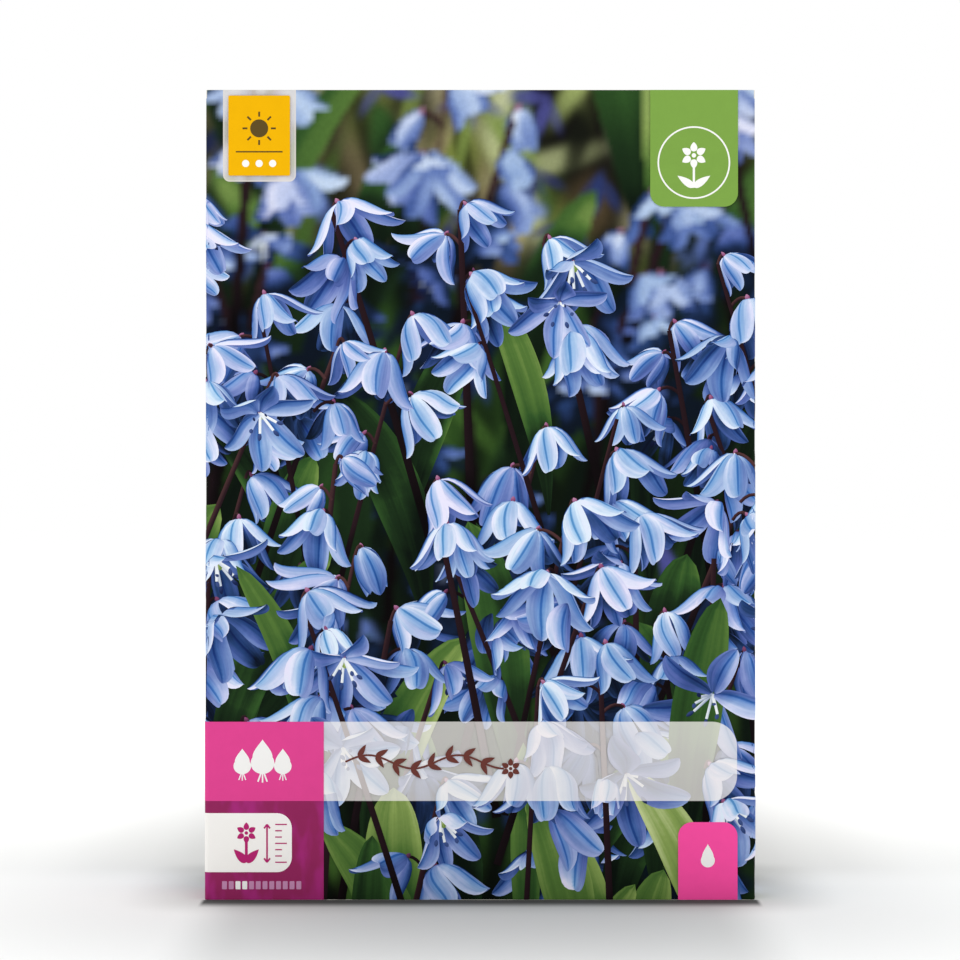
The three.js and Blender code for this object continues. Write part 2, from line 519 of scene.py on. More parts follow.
@dataclass(frozen=True)
class WashFinish:
    """The print's ground: colours out of focus, held by the sheet's points, under flat layers."""

    name: str = "picture_ground"
    veils: tuple[Veil, ...] = FRONT_VEILS

    def material(self) -> Material:
        """Builds the ground's material."""
        nodes = Nodes(self.name)
        wash = nodes.add("ShaderNodeAttribute", {"attribute_name": "wash"}, output="Color")
        tint = nodes.ramp(nodes.noise(900, 3), ((0.25, "#F1F1F1"), (0.75, "#FFFFFF")))
        colour = nodes.mix(wash, tint, 1.0, "MULTIPLY")
        at = nodes.place()
        for veil in self.veils:
            colour = veil.over(nodes, colour, at)
        return nodes.surface(Base_Color=colour, **MATT)


@dataclass(frozen=True)
class FlatInk:
    """A block of one ink with the faint mottle of a solid print.

    Its patches are a second tone, where the ink is thinner.
    """

    name: str
    colour: str
    mottle: float = 0.04
    patches: str = ""

    def material(self) -> Material:
        """Builds the block's material."""
        nodes = Nodes(self.name)
        grain = nodes.noise(420, 4)
        lighter, deeper = (
            (*(c * factor for c in ink(self.colour)[:3]), 1.0)
            for factor in (1 + self.mottle, 1 - self.mottle)
        )
        colour = nodes.mix(lighter, deeper, grain)
        if self.patches:
            thin = nodes.noise(130, 2, (1.6, 1.6, 0.7)).step(0.42, 0.62)
            colour = nodes.mix(colour, ink(self.patches), thin * 0.85)
        rough = 0.4 + nodes.noise(1500, 2) * 0.1
        return nodes.surface(Base_Color=colour, **{**MATT, "Roughness": rough})


@dataclass(frozen=True)
class BoardFinish:
    """Unprinted folding board: greyish white, with short fibres and specks."""

    name: str = "folding_board"
    pale: str = "#E2DFD6"
    dark: str = "#C4BFB2"
    speck: str = "#8E877A"

    def material(self) -> Material:
        """Builds the board's material."""
        nodes = Nodes(self.name)
        cloud = nodes.noise(90, 4)
        fibre = nodes.noise(1400, 5, (1.0, 1.0, 0.22))
        specks = nodes.noise(2600, 1).step(0.70, 0.76)
        colour = nodes.mix(ink(self.pale), ink(self.dark), cloud * 0.5 + fibre * 0.5)
        colour = nodes.mix(colour, ink(self.speck), specks * 0.5)
        rough = 0.72 + fibre * 0.2
        height = fibre * 0.7 + cloud * 0.3
        normal = nodes.bump(height, 0.05 * MM, 0.6)
        return nodes.surface(Base_Color=colour, Roughness=rough, Normal=normal)


@dataclass(frozen=True)
class TunicFinish:
    """A bulb's papery skins: brown and wine-red, with paler streaks from root to nose."""

    name: str = "bulb_tunic"
    dark: str = "#2A1216"
    red: str = "#5A2A2A"
    brown: str = "#8A5F42"
    pale: str = "#C9A987"
    root: str = "#A8916E"
    nose: str = "#B79A74"

    def material(self) -> Material:
        """Builds the skins' material."""
        nodes = Nodes(self.name)
        skin = nodes.add("ShaderNodeAttribute", {"attribute_name": "skin"}, output="Vector")
        tint = nodes.add("ShaderNodeAttribute", {"attribute_name": "tint"}, output="Vector")
        shift, up, _ = nodes.parts(tint)
        streak = nodes.add("ShaderNodeTexNoise", sockets={0: skin, "Scale": 5.0, "Detail": 5.0})
        patch = nodes.noise(160, 3)
        tone = streak * 0.7 + patch * 0.4 + (shift - 0.5) * 0.35 - 0.05
        colour = nodes.ramp(
            tone,
            ((0.22, self.dark), (0.45, self.red), (0.62, self.brown), (0.85, self.pale)),
        )
        colour = nodes.mix(colour, ink(self.root), up.step(0.12, 0.03) * 0.8)
        colour = nodes.mix(colour, ink(self.nose), up.step(0.86, 0.98) * 0.55)
        rough = 0.38 + streak * 0.3
        normal = nodes.bump(streak * 0.8 + patch * 0.2, 0.35 * MM, 0.7)
        return nodes.surface(Base_Color=colour, Roughness=rough, Normal=normal)


# The carton's outside, unrolled
# ------------------------------


class Surface:
    """A part of the carton's outside that takes print, drawn flat: s to the right and z up."""

    def cuts(self) -> list[float]:
        """The places along s where a drawing is cut, so that it can bend."""
        return []

    def folds(self) -> list[float]:
        """The heights where a drawing is cut, so that it can bend."""
        return []

    def bend(self, s: float, z: float, lift: float) -> Vector:
        """Finds where a flat point lands.

        Args:
            s: Its place along the drawing.
            z: Its height in the drawing.
            lift: Its distance out of the board.

        Returns:
            The point in the carton's frame.
        """
        raise NotImplementedError


@dataclass(frozen=True)
class Wrap(Surface):
    """The carton's four walls, unrolled.

    The drawing's s is 0 in the front's middle. A positive s runs round the right wall and the
    back to the left back corner, a negative one round the left wall to the same corner.
    """

    half_width: float
    half_depth: float
    corner: float = 0.8 * MM
    steps: int = 4

    @property
    def front(self) -> float:
        """Where the front's flat ends and the first crease starts."""
        return self.half_width - self.corner

    @property
    def crease(self) -> float:
        """The length of a crease along the unrolled outside."""
        return self.corner * math.pi / 2

    @property
    def side_start(self) -> float:
        """Where a side wall's flat starts."""
        return self.front + self.crease

    @property
    def side_end(self) -> float:
        """Where a side wall's flat ends."""
        return self.side_start + 2 * (self.half_depth - self.corner)

    @property
    def back_start(self) -> float:
        """Where the back wall's flat starts."""
        return self.side_end + self.crease

    @property
    def front_edge(self) -> float:
        """The middle of the crease beside the front, where two prints meet."""
        return self.front + self.crease / 2

    @property
    def back_edge(self) -> float:
        """The middle of the crease between a side wall and the back."""
        return self.side_end + self.crease / 2

    @property
    def back_middle(self) -> float:
        """The middle of the back."""
        return self.back_start + self.front

    @property
    def back_end(self) -> float:
        """Where the back's flat ends at the left back corner."""
        return self.back_start + 2 * self.front

    def cuts(self) -> list[float]:
        """The places round the creases."""
        shares = [i / self.steps for i in range(self.steps + 1)]
        found = [start + self.crease * t for start in (self.front, self.side_end) for t in shares]
        return found + [-s for s in found]

    def bend(self, s: float, z: float, lift: float) -> Vector:
        """Finds where a flat point lands on the walls."""
        way, side = abs(s), 1 if s >= 0 else -1
        reach = self.corner + lift
        depth = self.half_depth - self.corner
        if way <= self.front:
            x, y = way, -self.half_depth - lift
        elif way <= self.side_start:
            turn = (way - self.front) / self.corner
            x, y = self.front + reach * math.sin(turn), -depth - reach * math.cos(turn)
        elif way <= self.side_end:
            x, y = self.half_width + lift, -depth + way - self.side_start
        elif way <= self.back_start:
            turn = (way - self.side_end) / self.corner
            x, y = self.front + reach * math.cos(turn), depth + reach * math.sin(turn)
        else:
            x, y = self.front - (way - self.back_start), self.half_depth + lift
        return Vector((side * x, y, z))


@dataclass(frozen=True)
class Panel(Surface):
    """A board that turns over from the top of a wall: it rises, bends at a crease and lies flat.

    Without a rise and a radius it is all flat. Its origin is where the drawing's start lands.
    """

    origin: Place
    right: Place
    up: Place
    start: Point = (0.0, 0.0)
    rise: float = 0.0
    radius: float = 0.0

    def folds(self) -> list[float]:
        """The heights round its crease."""
        if not self.radius:
            return []
        first = self.start[1] + self.rise
        joint = [first - self.radius * i / 1.5 for i in range(1, 4)]
        return joint + [first + self.radius * math.pi / 2 * i / 4 for i in range(5)]

    def bend(self, s: float, z: float, lift: float) -> Vector:
        """Finds where a flat point lands on the board."""
        right, up = Vector(self.right), Vector(self.up)
        out = right.cross(up)
        run = z - self.start[1]
        rise, inward = run, -lift
        if self.radius:
            past = max(run - self.rise, 0.0)
            turn = min(past / self.radius, math.pi / 2)
            reach = self.radius + lift
            rise = min(run, self.rise) + reach * math.sin(turn)
            flat = max(past - self.radius * math.pi / 2, 0.0)
            inward = self.radius - reach * math.cos(turn) + flat
        return Vector(self.origin) + right * (s - self.start[0]) + up * rise - out * inward


def finished(name: str, mesh: Mesh, materials: Iterable[Material]) -> Piece:
    """Turns a finished bmesh into an object in the scene.

    Args:
        name: The piece's name.
        mesh: Its mesh, which is freed.
        materials: Its material slots.

    Returns:
        The new object, at the origin.
    """
    data = bpy.data.meshes.new(name)
    mesh.to_mesh(data)
    mesh.free()
    for material in materials:
        data.materials.append(material)
    piece = bpy.data.objects.new(name, data)
    bpy.context.scene.collection.objects.link(piece)
    return piece


def face_viewer(face: bmesh.types.BMFace) -> None:
    """Turns a face of a flat drawing to the viewer, who looks along Y.

    Args:
        face: The face.
    """
    face.normal_update()
    if face.normal.y > 0:
        face.normal_flip()


def lay_plan(mesh: Mesh, area: Area) -> bmesh.types.BMLayerItem:
    """Gives a flat drawing the plan of its own shape, on which its finish can be baked.

    Args:
        mesh: The drawing, before it is bent.
        area: What the plan covers.

    Returns:
        The plan's layer.
    """
    plan = mesh.loops.layers.uv.new("OFBake")
    wide, tall = area.right - area.left, area.high - area.low
    for face in mesh.faces:
        for loop in face.loops:
            co = loop.vert.co
            loop[plan].uv = ((co.x - area.left) / wide, (co.z - area.low) / tall)
    return plan


# The picture: cut-outs in depth
# ------------------------------


@dataclass
class Blade:
    """One cut-out before it is pressed: a grid of points, right, away and up, in metres."""

    points: Array
    motif: Motif
    hue: float = 0.0
    glow: float = 0.0
    chance: float = 0.0
    shade: Array | None = None
    level: int = 0

    @property
    def depth(self) -> float:
        """How far away it lies, which is the order in which the cut-outs cover each other."""
        return float(self.points[:, :, 1].mean())

    @property
    def middle(self) -> Point:
        """Its middle on the board."""
        return float(self.points[:, :, 0].mean()), float(self.points[:, :, 2].mean())

    def outward(self) -> Array:
        """The normal at each point, on the side that counts as its outside."""
        along = np.gradient(self.points, axis=0)
        across = np.gradient(self.points, axis=1)
        normal = np.cross(across, along)
        return normal / np.maximum(np.linalg.norm(normal, axis=2, keepdims=True), 1e-12)

    def filled(self, step: float) -> Array:
        """Fills the grid with more points.

        Args:
            step: How close together they lie at least.

        Returns:
            A row for each point: its place, its shade and its distance off the middle.
        """
        p = self.points
        rows = self._finer(np.linalg.norm(np.diff(p, axis=0), axis=2).max(), step)
        columns = self._finer(np.linalg.norm(np.diff(p, axis=1), axis=2).max(), step)
        shade = np.zeros(p.shape[:2]) if self.shade is None else self.shade
        off_middle = np.broadcast_to(abs(np.linspace(-1, 1, p.shape[1])), shade.shape)
        p = self._between(np.concatenate([p, np.stack([shade, off_middle], axis=2)], axis=2), rows)
        return self._between(p.swapaxes(0, 1), columns).reshape(-1, 5)

    @staticmethod
    def _finer(longest: float, step: float) -> int:
        """How many parts a grid's cell is split in."""
        return max(1, math.ceil(longest / step))

    @staticmethod
    def _between(p: Array, parts: int) -> Array:
        """Adds rows between the rows of a grid."""
        share = (np.arange(parts) / parts)[None, :, None, None]
        spans = p[:-1, None] * (1 - share) + p[1:, None] * share
        return np.concatenate([spans.reshape(-1, *p.shape[1:]), p[-1:]])


@dataclass
class Squill:
    """Draws one squill flower, in the picture's space.

    Bell, star and bud are the angles between a petal and the flower's axis, in degrees, at the
    places along its length.
    """

    rng: Random
    petal_length: float = 15.2 * MM
    petal_width: float = 6.0 * MM
    rows: int = 12
    columns: int = 4
    filament: float = 6.0 * MM
    anther: float = 2.0 * MM
    places: tuple[float, ...] = (0, 0.22, 0.5, 0.8, 1)
    bell: tuple[float, ...] = (88, 40, 16, 14, 34)
    star: tuple[float, ...] = (88, 74, 70, 82, 100)
    bud: tuple[float, ...] = (75, 22, 2, -16, -24)

    def draw(self, top: Array, axis: Array, open_by: float, size: float) -> list[Blade]:
        """Draws the flower's petals, and its stamens if it is open.

        Args:
            top: The point that it hangs from.
            axis: The direction that its mouth faces, of length one.
            open_by: 0 for a bell, 1 for a star, below 0 for a bud.
            size: A factor on its size.

        Returns:
            Its cut-outs.
        """
        hue = self.rng.uniform(0.0, 0.55) ** 1.5 * 2
        glow = self.rng.uniform(-0.13, 0.07)
        aside = np.cross(axis, (0.0, -1.0, 0.15))
        aside /= np.linalg.norm(aside)
        other = np.cross(axis, aside)
        start = self.rng.uniform(0, math.tau)
        blades = [self._knot(top, axis, size)]
        for i in range(6):
            turn = start + i * math.tau / 6 + self.rng.uniform(-0.12, 0.12)
            radial = math.cos(turn) * aside + math.sin(turn) * other
            spread = open_by + self.rng.choice((0.0, 0.0, 0.06, 0.12, 0.42)) * (open_by > -0.2)
            reach = size * self.rng.uniform(0.92, 1.06)
            inner = 0.35 * MM * (i % 2)
            blades.append(self._petal(top, axis, radial, spread, reach, inner, hue, glow))
        if open_by > 0.25:
            blades += self._stamens(top, axis, aside, other, size)
        return blades

    def _petal(
        self, top: Array, axis: Array, radial: Array, spread: float, size: float, inner: float,
        hue: float, glow: float,
    ) -> Blade:
        """Bends one petal out from the axis, down, and out again at its tip.

        Args:
            top: The point that the flower hangs from.
            axis: The direction that its mouth faces.
            radial: The direction in which the petal leaves the axis.
            spread: 0 as in a bell, 1 as in a star, below 0 as in a bud.
            size: A factor on its size.
            inner: How much nearer to the axis it starts, as every second petal does.
            hue: How far its colour leans to violet.
            glow: What the flower's shade gains.

        Returns:
            The petal.
        """
        s = 1 - (1 - np.linspace(0, 1, self.rows + 1)) ** 1.5
        u = np.linspace(-1, 1, self.columns + 1)
        angles = (self.bell, self.star if spread >= 0 else self.bud)
        bell, other = (np.interp(s, self.places, degrees) for degrees in angles)
        lean = np.radians(bell + (other - bell) * abs(min(max(spread, -1.0), 1.2)))
        lean = lean + math.radians(self.rng.uniform(-5, 5))
        length = self.petal_length * size
        width = self.petal_width * size * (1 + 0.06 * self.rng.uniform(-1, 1))
        step = np.diff(s) * length
        middle = (lean[:-1] + lean[1:]) / 2
        out = np.concatenate([[0], np.cumsum(np.sin(middle) * step)]) + 0.7 * MM - inner
        down = np.concatenate([[0], np.cumsum(np.cos(middle) * step)])
        side = np.cross(axis, radial)
        half = width / 2 * 2.3 * (s + 0.04) ** 0.74 * np.maximum(1.0 - s, 0.0) ** 0.54
        half[-1] = 0.03 * width
        normal = np.cos(lean)[:, None] * radial - np.sin(lean)[:, None] * axis
        centre = top + out[:, None] * radial + down[:, None] * axis
        curl = self.rng.uniform(0.45, 0.85)
        wave = self.rng.uniform(-0.4, 0.4)
        sway = self.rng.uniform(-0.09, 0.09) * length
        sway = sway * np.sin(s * math.pi * self.rng.uniform(0.8, 1.6))
        aside = half[:, None] * u[None, :]
        flat = (aside + sway[:, None])[:, :, None] * side
        cup = wave * aside * s[:, None] - curl * half[:, None] * abs(u[None, :]) ** 1.35
        points = centre[:, None, :] + flat + cup[:, :, None] * normal[:, None, :]
        glow += self.rng.uniform(-0.07, 0.05)
        return Blade(points, Motif.PETAL, hue, glow, self.rng.random())

    def _knot(self, top: Array, axis: Array, size: float) -> Blade:
        """Draws the small pink swelling where the flower joins its stalk."""
        return disc_blade(top + axis * 0.6 * MM, -axis, 0.55 * MM * size, 1.7 * MM, Motif.KNOT)

    def _stamens(self, top: Array, axis: Array, aside: Array, other: Array, size: float) -> list[Blade]:
        """Draws six white filaments with dark anthers, and a green ovary.

        Args:
            top: The point that the flower hangs from.
            axis: The direction that its mouth faces.
            aside: A direction square to the axis.
            other: The direction square to both.
            size: A factor on the flower's size.

        Returns:
            Their cut-outs.
        """
        blades = []
        for i in range(6):
            turn = i * math.tau / 6 + self.rng.uniform(-0.2, 0.2)
            radial = math.cos(turn) * aside + math.sin(turn) * other
            way = axis + radial * self.rng.uniform(0.35, 0.7)
            way /= np.linalg.norm(way)
            tip = top + way * self.filament * size + axis * 0.5 * MM
            blades.append(strip_blade([top, (top + tip) / 2, tip], 0.3 * MM, Motif.FILAMENT, 0.05))
            cross = way + radial * self.rng.uniform(-0.8, 0.8)
            cross /= np.linalg.norm(cross)
            blades.append(disc_blade(tip, cross, 0.45 * MM, self.anther * size, Motif.ANTHER))
        blades.append(disc_blade(top, axis, 0.9 * MM, 3.0 * MM, Motif.LEAF, glow=0.25))
        return blades


def strip_blade(
    path: Iterable[Array], half: float, motif: Motif, glow: float = 0.0,
    taper: Callable[[Array], Array] | None = None, chance: float = 0.0, cup: float = -0.8,
    columns: int = 2,
) -> Blade:
    """Draws a stem, a stalk or a leaf: a strip along a path, arched across.

    Args:
        path: The points of its middle line.
        half: Half its width, in metres.
        motif: What it shows.
        glow: What its shade gains.
        taper: Its width at each share of the path, as a factor.
        chance: A number from 0 to 1 that is its own.
        cup: How far its middle stands out, as a share of half its width; below 0 to the viewer.
        columns: How many faces lie across it.

    Returns:
        The cut-out.
    """
    line = np.array(list(path), float)
    along = np.gradient(line, axis=0)
    side = np.cross(along, (0.0, 1.0, 0.0))
    side /= np.maximum(np.linalg.norm(side, axis=1, keepdims=True), 1e-12)
    share = np.linspace(0, 1, len(line))
    wide = half * (taper(share) if taper else np.ones(len(line)))
    u = np.linspace(-1, 1, columns + 1)
    points = line[:, None, :] + side[:, None, :] * wide[:, None, None] * u[None, :, None]
    points[:, :, 1] += cup * wide[:, None] * (1 - u[None, :] ** 2)
    return Blade(points, motif, 0.0, glow, chance)


def disc_blade(
    start: Array, way: Array, half: float, length: float, motif: Motif, glow: float = 0.0,
) -> Blade:
    """Draws a small rounded body, such as an anther.

    Args:
        start: Where it starts.
        way: The direction of its length.
        half: Half its width, in metres.
        length: Its length.
        motif: What it shows.
        glow: What its shade gains.

    Returns:
        The cut-out.
    """
    path = [start + np.array(way) * length * t for t in np.linspace(0, 1, 5)]

    def taper(t: Array) -> Array:
        """Round, with blunt ends."""
        return np.sqrt(np.maximum(1 - (2 * t - 1) ** 2, 0.04))

    return strip_blade(path, half, motif, glow, taper)


def curve(points: Iterable[Iterable[float]], steps: int) -> Array:
    """Finds points along the smooth curve that three control points pull.

    Args:
        points: The control points.
        steps: How many parts the curve has.

    Returns:
        The points, in rows.
    """
    a, b, c = (np.array(p, float) for p in points)
    t = np.linspace(0, 1, steps + 1)[:, None]
    return (1 - t) ** 2 * a + 2 * t * (1 - t) * b + t**2 * c


@dataclass
class Meadow:
    """Plants squill and leaves in the picture's space, and draws them as cut-outs.

    Heads are the stems' upper ends: their lowest and highest place, and the space between two.
    Far shares are how many of the far ones grow at which height. Nothing in focus grows in a
    clearing.
    """

    left: float
    right: float
    seed: int
    near_heads: tuple[float, ...] = mm(24, 157, 13.9)
    far_heads: tuple[float, ...] = mm(20, 214, 15.0)
    far_shares: tuple[tuple[float, ...], ...] = (mm(110, 148, 168), (0.16, 0.8, 0.5))
    back: float = 60.0 * MM
    leaf_gap: float = 6.0 * MM
    clearings: int = 7
    clearing: float = 13.0 * MM
    steps: int = 18
    rng: Random = field(default_factory=Random)
    blades: list[Blade] = field(default_factory=list)

    def grow(self) -> tuple[list[Blade], list[Blade]]:
        """Draws every leaf and flower stem.

        Returns:
            The cut-outs in focus, and those out of focus.
        """
        leaves = int((self.right - self.left) / self.leaf_gap)
        self.rng.seed(self.seed + 1)
        self._grow_far(leaves)
        far, self.blades = self.blades, []
        self.rng.seed(self.seed)
        self._grow_near(leaves)
        return self.blades, far

    def _grow_far(self, leaves: int) -> None:
        """Draws what is out of focus: flower stems, leaves, and a few large pale leaves.

        Args:
            leaves: How many leaves fit side by side.
        """
        rng = self.rng
        for s, z in self._heads(*self.far_heads):
            if rng.random() < np.interp(z, *self.far_shares):
                self._stem(s, z, self.back * rng.uniform(0.7, 1.0))
        for _ in range(leaves * 2):
            self._leaf(rng.uniform(0, 150) * MM, 1.2, self.back * rng.uniform(0.7, 1.0), 0.0)
        for _ in range(leaves // 5):
            self._leaf(rng.uniform(-10, 145) * MM, 1.6, self.back * 0.72, 0.36)

    def _grow_near(self, leaves: int) -> None:
        """Draws what is in focus: leaves behind, between and in front, and the flower stems.

        Args:
            leaves: How many leaves fit side by side.
        """
        rng = self.rng
        span = self.right - self.left
        bare = [
            (self.left + span * rng.random(), rng.uniform(62, 150) * MM)
            for _ in range(self.clearings)
        ]
        for _ in range(leaves):
            foot = rng.uniform(-20, 90) * MM
            self._leaf(foot, 1.0, self.back * rng.uniform(0.3, 0.6), 0.06)
        for _ in range(leaves * 2 // 5):
            self._leaf(rng.uniform(-30, 24) * MM, 1.2, rng.uniform(-4, 14) * MM, 0.0)
        for _ in range(leaves * 3 // 5):
            glow = rng.uniform(-0.22, 0.26)
            self._leaf(rng.uniform(-34, -14) * MM, 0.9, rng.uniform(-6, 2) * MM, glow)
        low, high, _ = self.near_heads
        for s, z in self._heads(*self.near_heads):
            share = (z - low) / (high - low)
            away = self.back * min(max(0.45 * share**1.3 + rng.uniform(-0.15, 0.35), 0.0), 0.62)
            if all(math.hypot(s - a, z - b) > self.clearing for a, b in bare):
                self._stem(s, z, away)

    def _heads(self, low: float, high: float, spacing: float) -> list[Point]:
        """Scatters heads, none too close to another and fewer at both ends.

        Args:
            low: The lowest height.
            high: The highest.
            spacing: The least distance between two.

        Returns:
            Their places.
        """
        rng = self.rng
        found: list[Point] = []
        for _ in range(6000):
            s = rng.uniform(self.left, self.right)
            z = rng.uniform(low, high)
            share = (z - low) / (high - low)
            gap = spacing * (1 + 0.3 * max(share - 0.8, 0) / 0.2 + max(0.12 - share, 0) * 3)
            if all(math.hypot(s - a, (z - b) * 0.85) > gap for a, b in found):
                found.append((s, z))
        return found

    def _leaf(self, foot: float, size: float, away: float, glow: float) -> None:
        """Draws one leaf: a broad blade that arches up to a blunt tip.

        Args:
            foot: The height where it starts.
            size: A factor on its size.
            away: How far away it stands.
            glow: What its shade gains.
        """
        rng = self.rng
        s = rng.uniform(self.left, self.right)
        tall = rng.uniform(32, 56) * MM * size
        bow = rng.uniform(-24, 24) * MM * size
        path = curve(
            [
                (s, away + 24 * MM, foot),
                (s + bow * 0.1, away - 5 * MM, foot + tall * 0.6),
                (s + bow, away, foot + tall),
            ],
            self.steps,
        )
        half = rng.uniform(3.4, 7.0) * MM

        def taper(t: Array) -> Array:
            """Broad until near the tip, where it narrows to a blunt point."""
            opening = 0.08 + 0.92 * np.sin(np.pi * np.minimum(t, 0.6) / 1.2)
            return opening * (1.0 - t**4.5) ** 0.62

        glow += rng.uniform(-0.22, 0.16)
        self.blades.append(strip_blade(path, half, Motif.LEAF, glow, taper, rng.random(), 0.35, 4))

    def _stem(self, s: float, z: float, away: float) -> None:
        """Draws one flower stem with its flowers, from its upper end down.

        Three stems in five are drawn nearer than they grow, so that they cross the flowers.

        Args:
            s: The place of its upper end along the drawing.
            z: The height of its upper end.
            away: How far away it stands.
        """
        rng = self.rng
        lean = rng.uniform(-22, 22) * MM
        tall = rng.uniform(60, 90) * MM
        in_front = int(s / MM) % 5 < 3
        path = curve(
            [
                (s - lean * 1.5, away + 34 * MM, z - tall),
                (s - lean * 0.8, away - 2 * MM, z - tall * 0.5),
                (s, away - 2 * MM, z),
            ],
            self.steps,
        )
        half = rng.uniform(0.6, 0.9) * MM
        shown = path - (0, 15 * MM * in_front, 0)
        glow = 0.0 if in_front else 0.12
        self.blades.append(strip_blade(shown, half, Motif.STEM, glow, lambda t: 1.15 - 0.5 * t))
        squill = Squill(rng)
        for i in range(rng.choice((3, 4, 4, 5, 5))):
            at = 1.0 - i * rng.uniform(0.07, 0.10)
            node = path[min(int(at * self.steps), self.steps)]
            self._flower(squill, node, i, away)

    def _flower(self, squill: Squill, node: Array, order: int, away: float) -> None:
        """Draws one flower on its stalk.

        Args:
            squill: What draws the flower.
            node: Where its stalk leaves the stem.
            order: How many flowers of the stem are above it.
            away: How far away the stem stands.
        """
        rng = self.rng
        turn = rng.uniform(0, math.tau) if order else rng.uniform(-0.6, 0.6)
        side = (-1) ** order
        out = np.array((side * math.cos(turn / 2), 0.7 * math.sin(turn) - 0.25, 0.0))
        out /= np.linalg.norm(out)
        reach = rng.uniform(2.5, 6.0) * MM if order else 1.5 * MM
        top = node + out * reach + np.array((0, 0, rng.uniform(0.5, 3.0) * MM))
        stalk = curve([node, node + out * reach * 0.5 + (0, 0, 3 * MM), top], 5)
        self.blades.append(strip_blade(stalk, 0.36 * MM, Motif.STEM, 0.12))
        axis = out * rng.uniform(0.1, 1.1) + (0, 0, -1)
        kind = rng.random()
        open_by = rng.uniform(-0.1, 0.27)
        if kind > 0.93:
            open_by = rng.uniform(0.3, 0.8)
            axis = axis + np.array((0, -0.9, 0.45)) * rng.uniform(0.3, 0.9)
        elif kind < 0.08:
            open_by = -rng.uniform(0.6, 1.0)
        axis /= np.linalg.norm(axis)
        size = rng.uniform(0.85, 1.08) * (1 - 0.16 * away / self.back)
        self.blades += squill.draw(top, axis, open_by, size * (0.8 if open_by < 0 else 1))


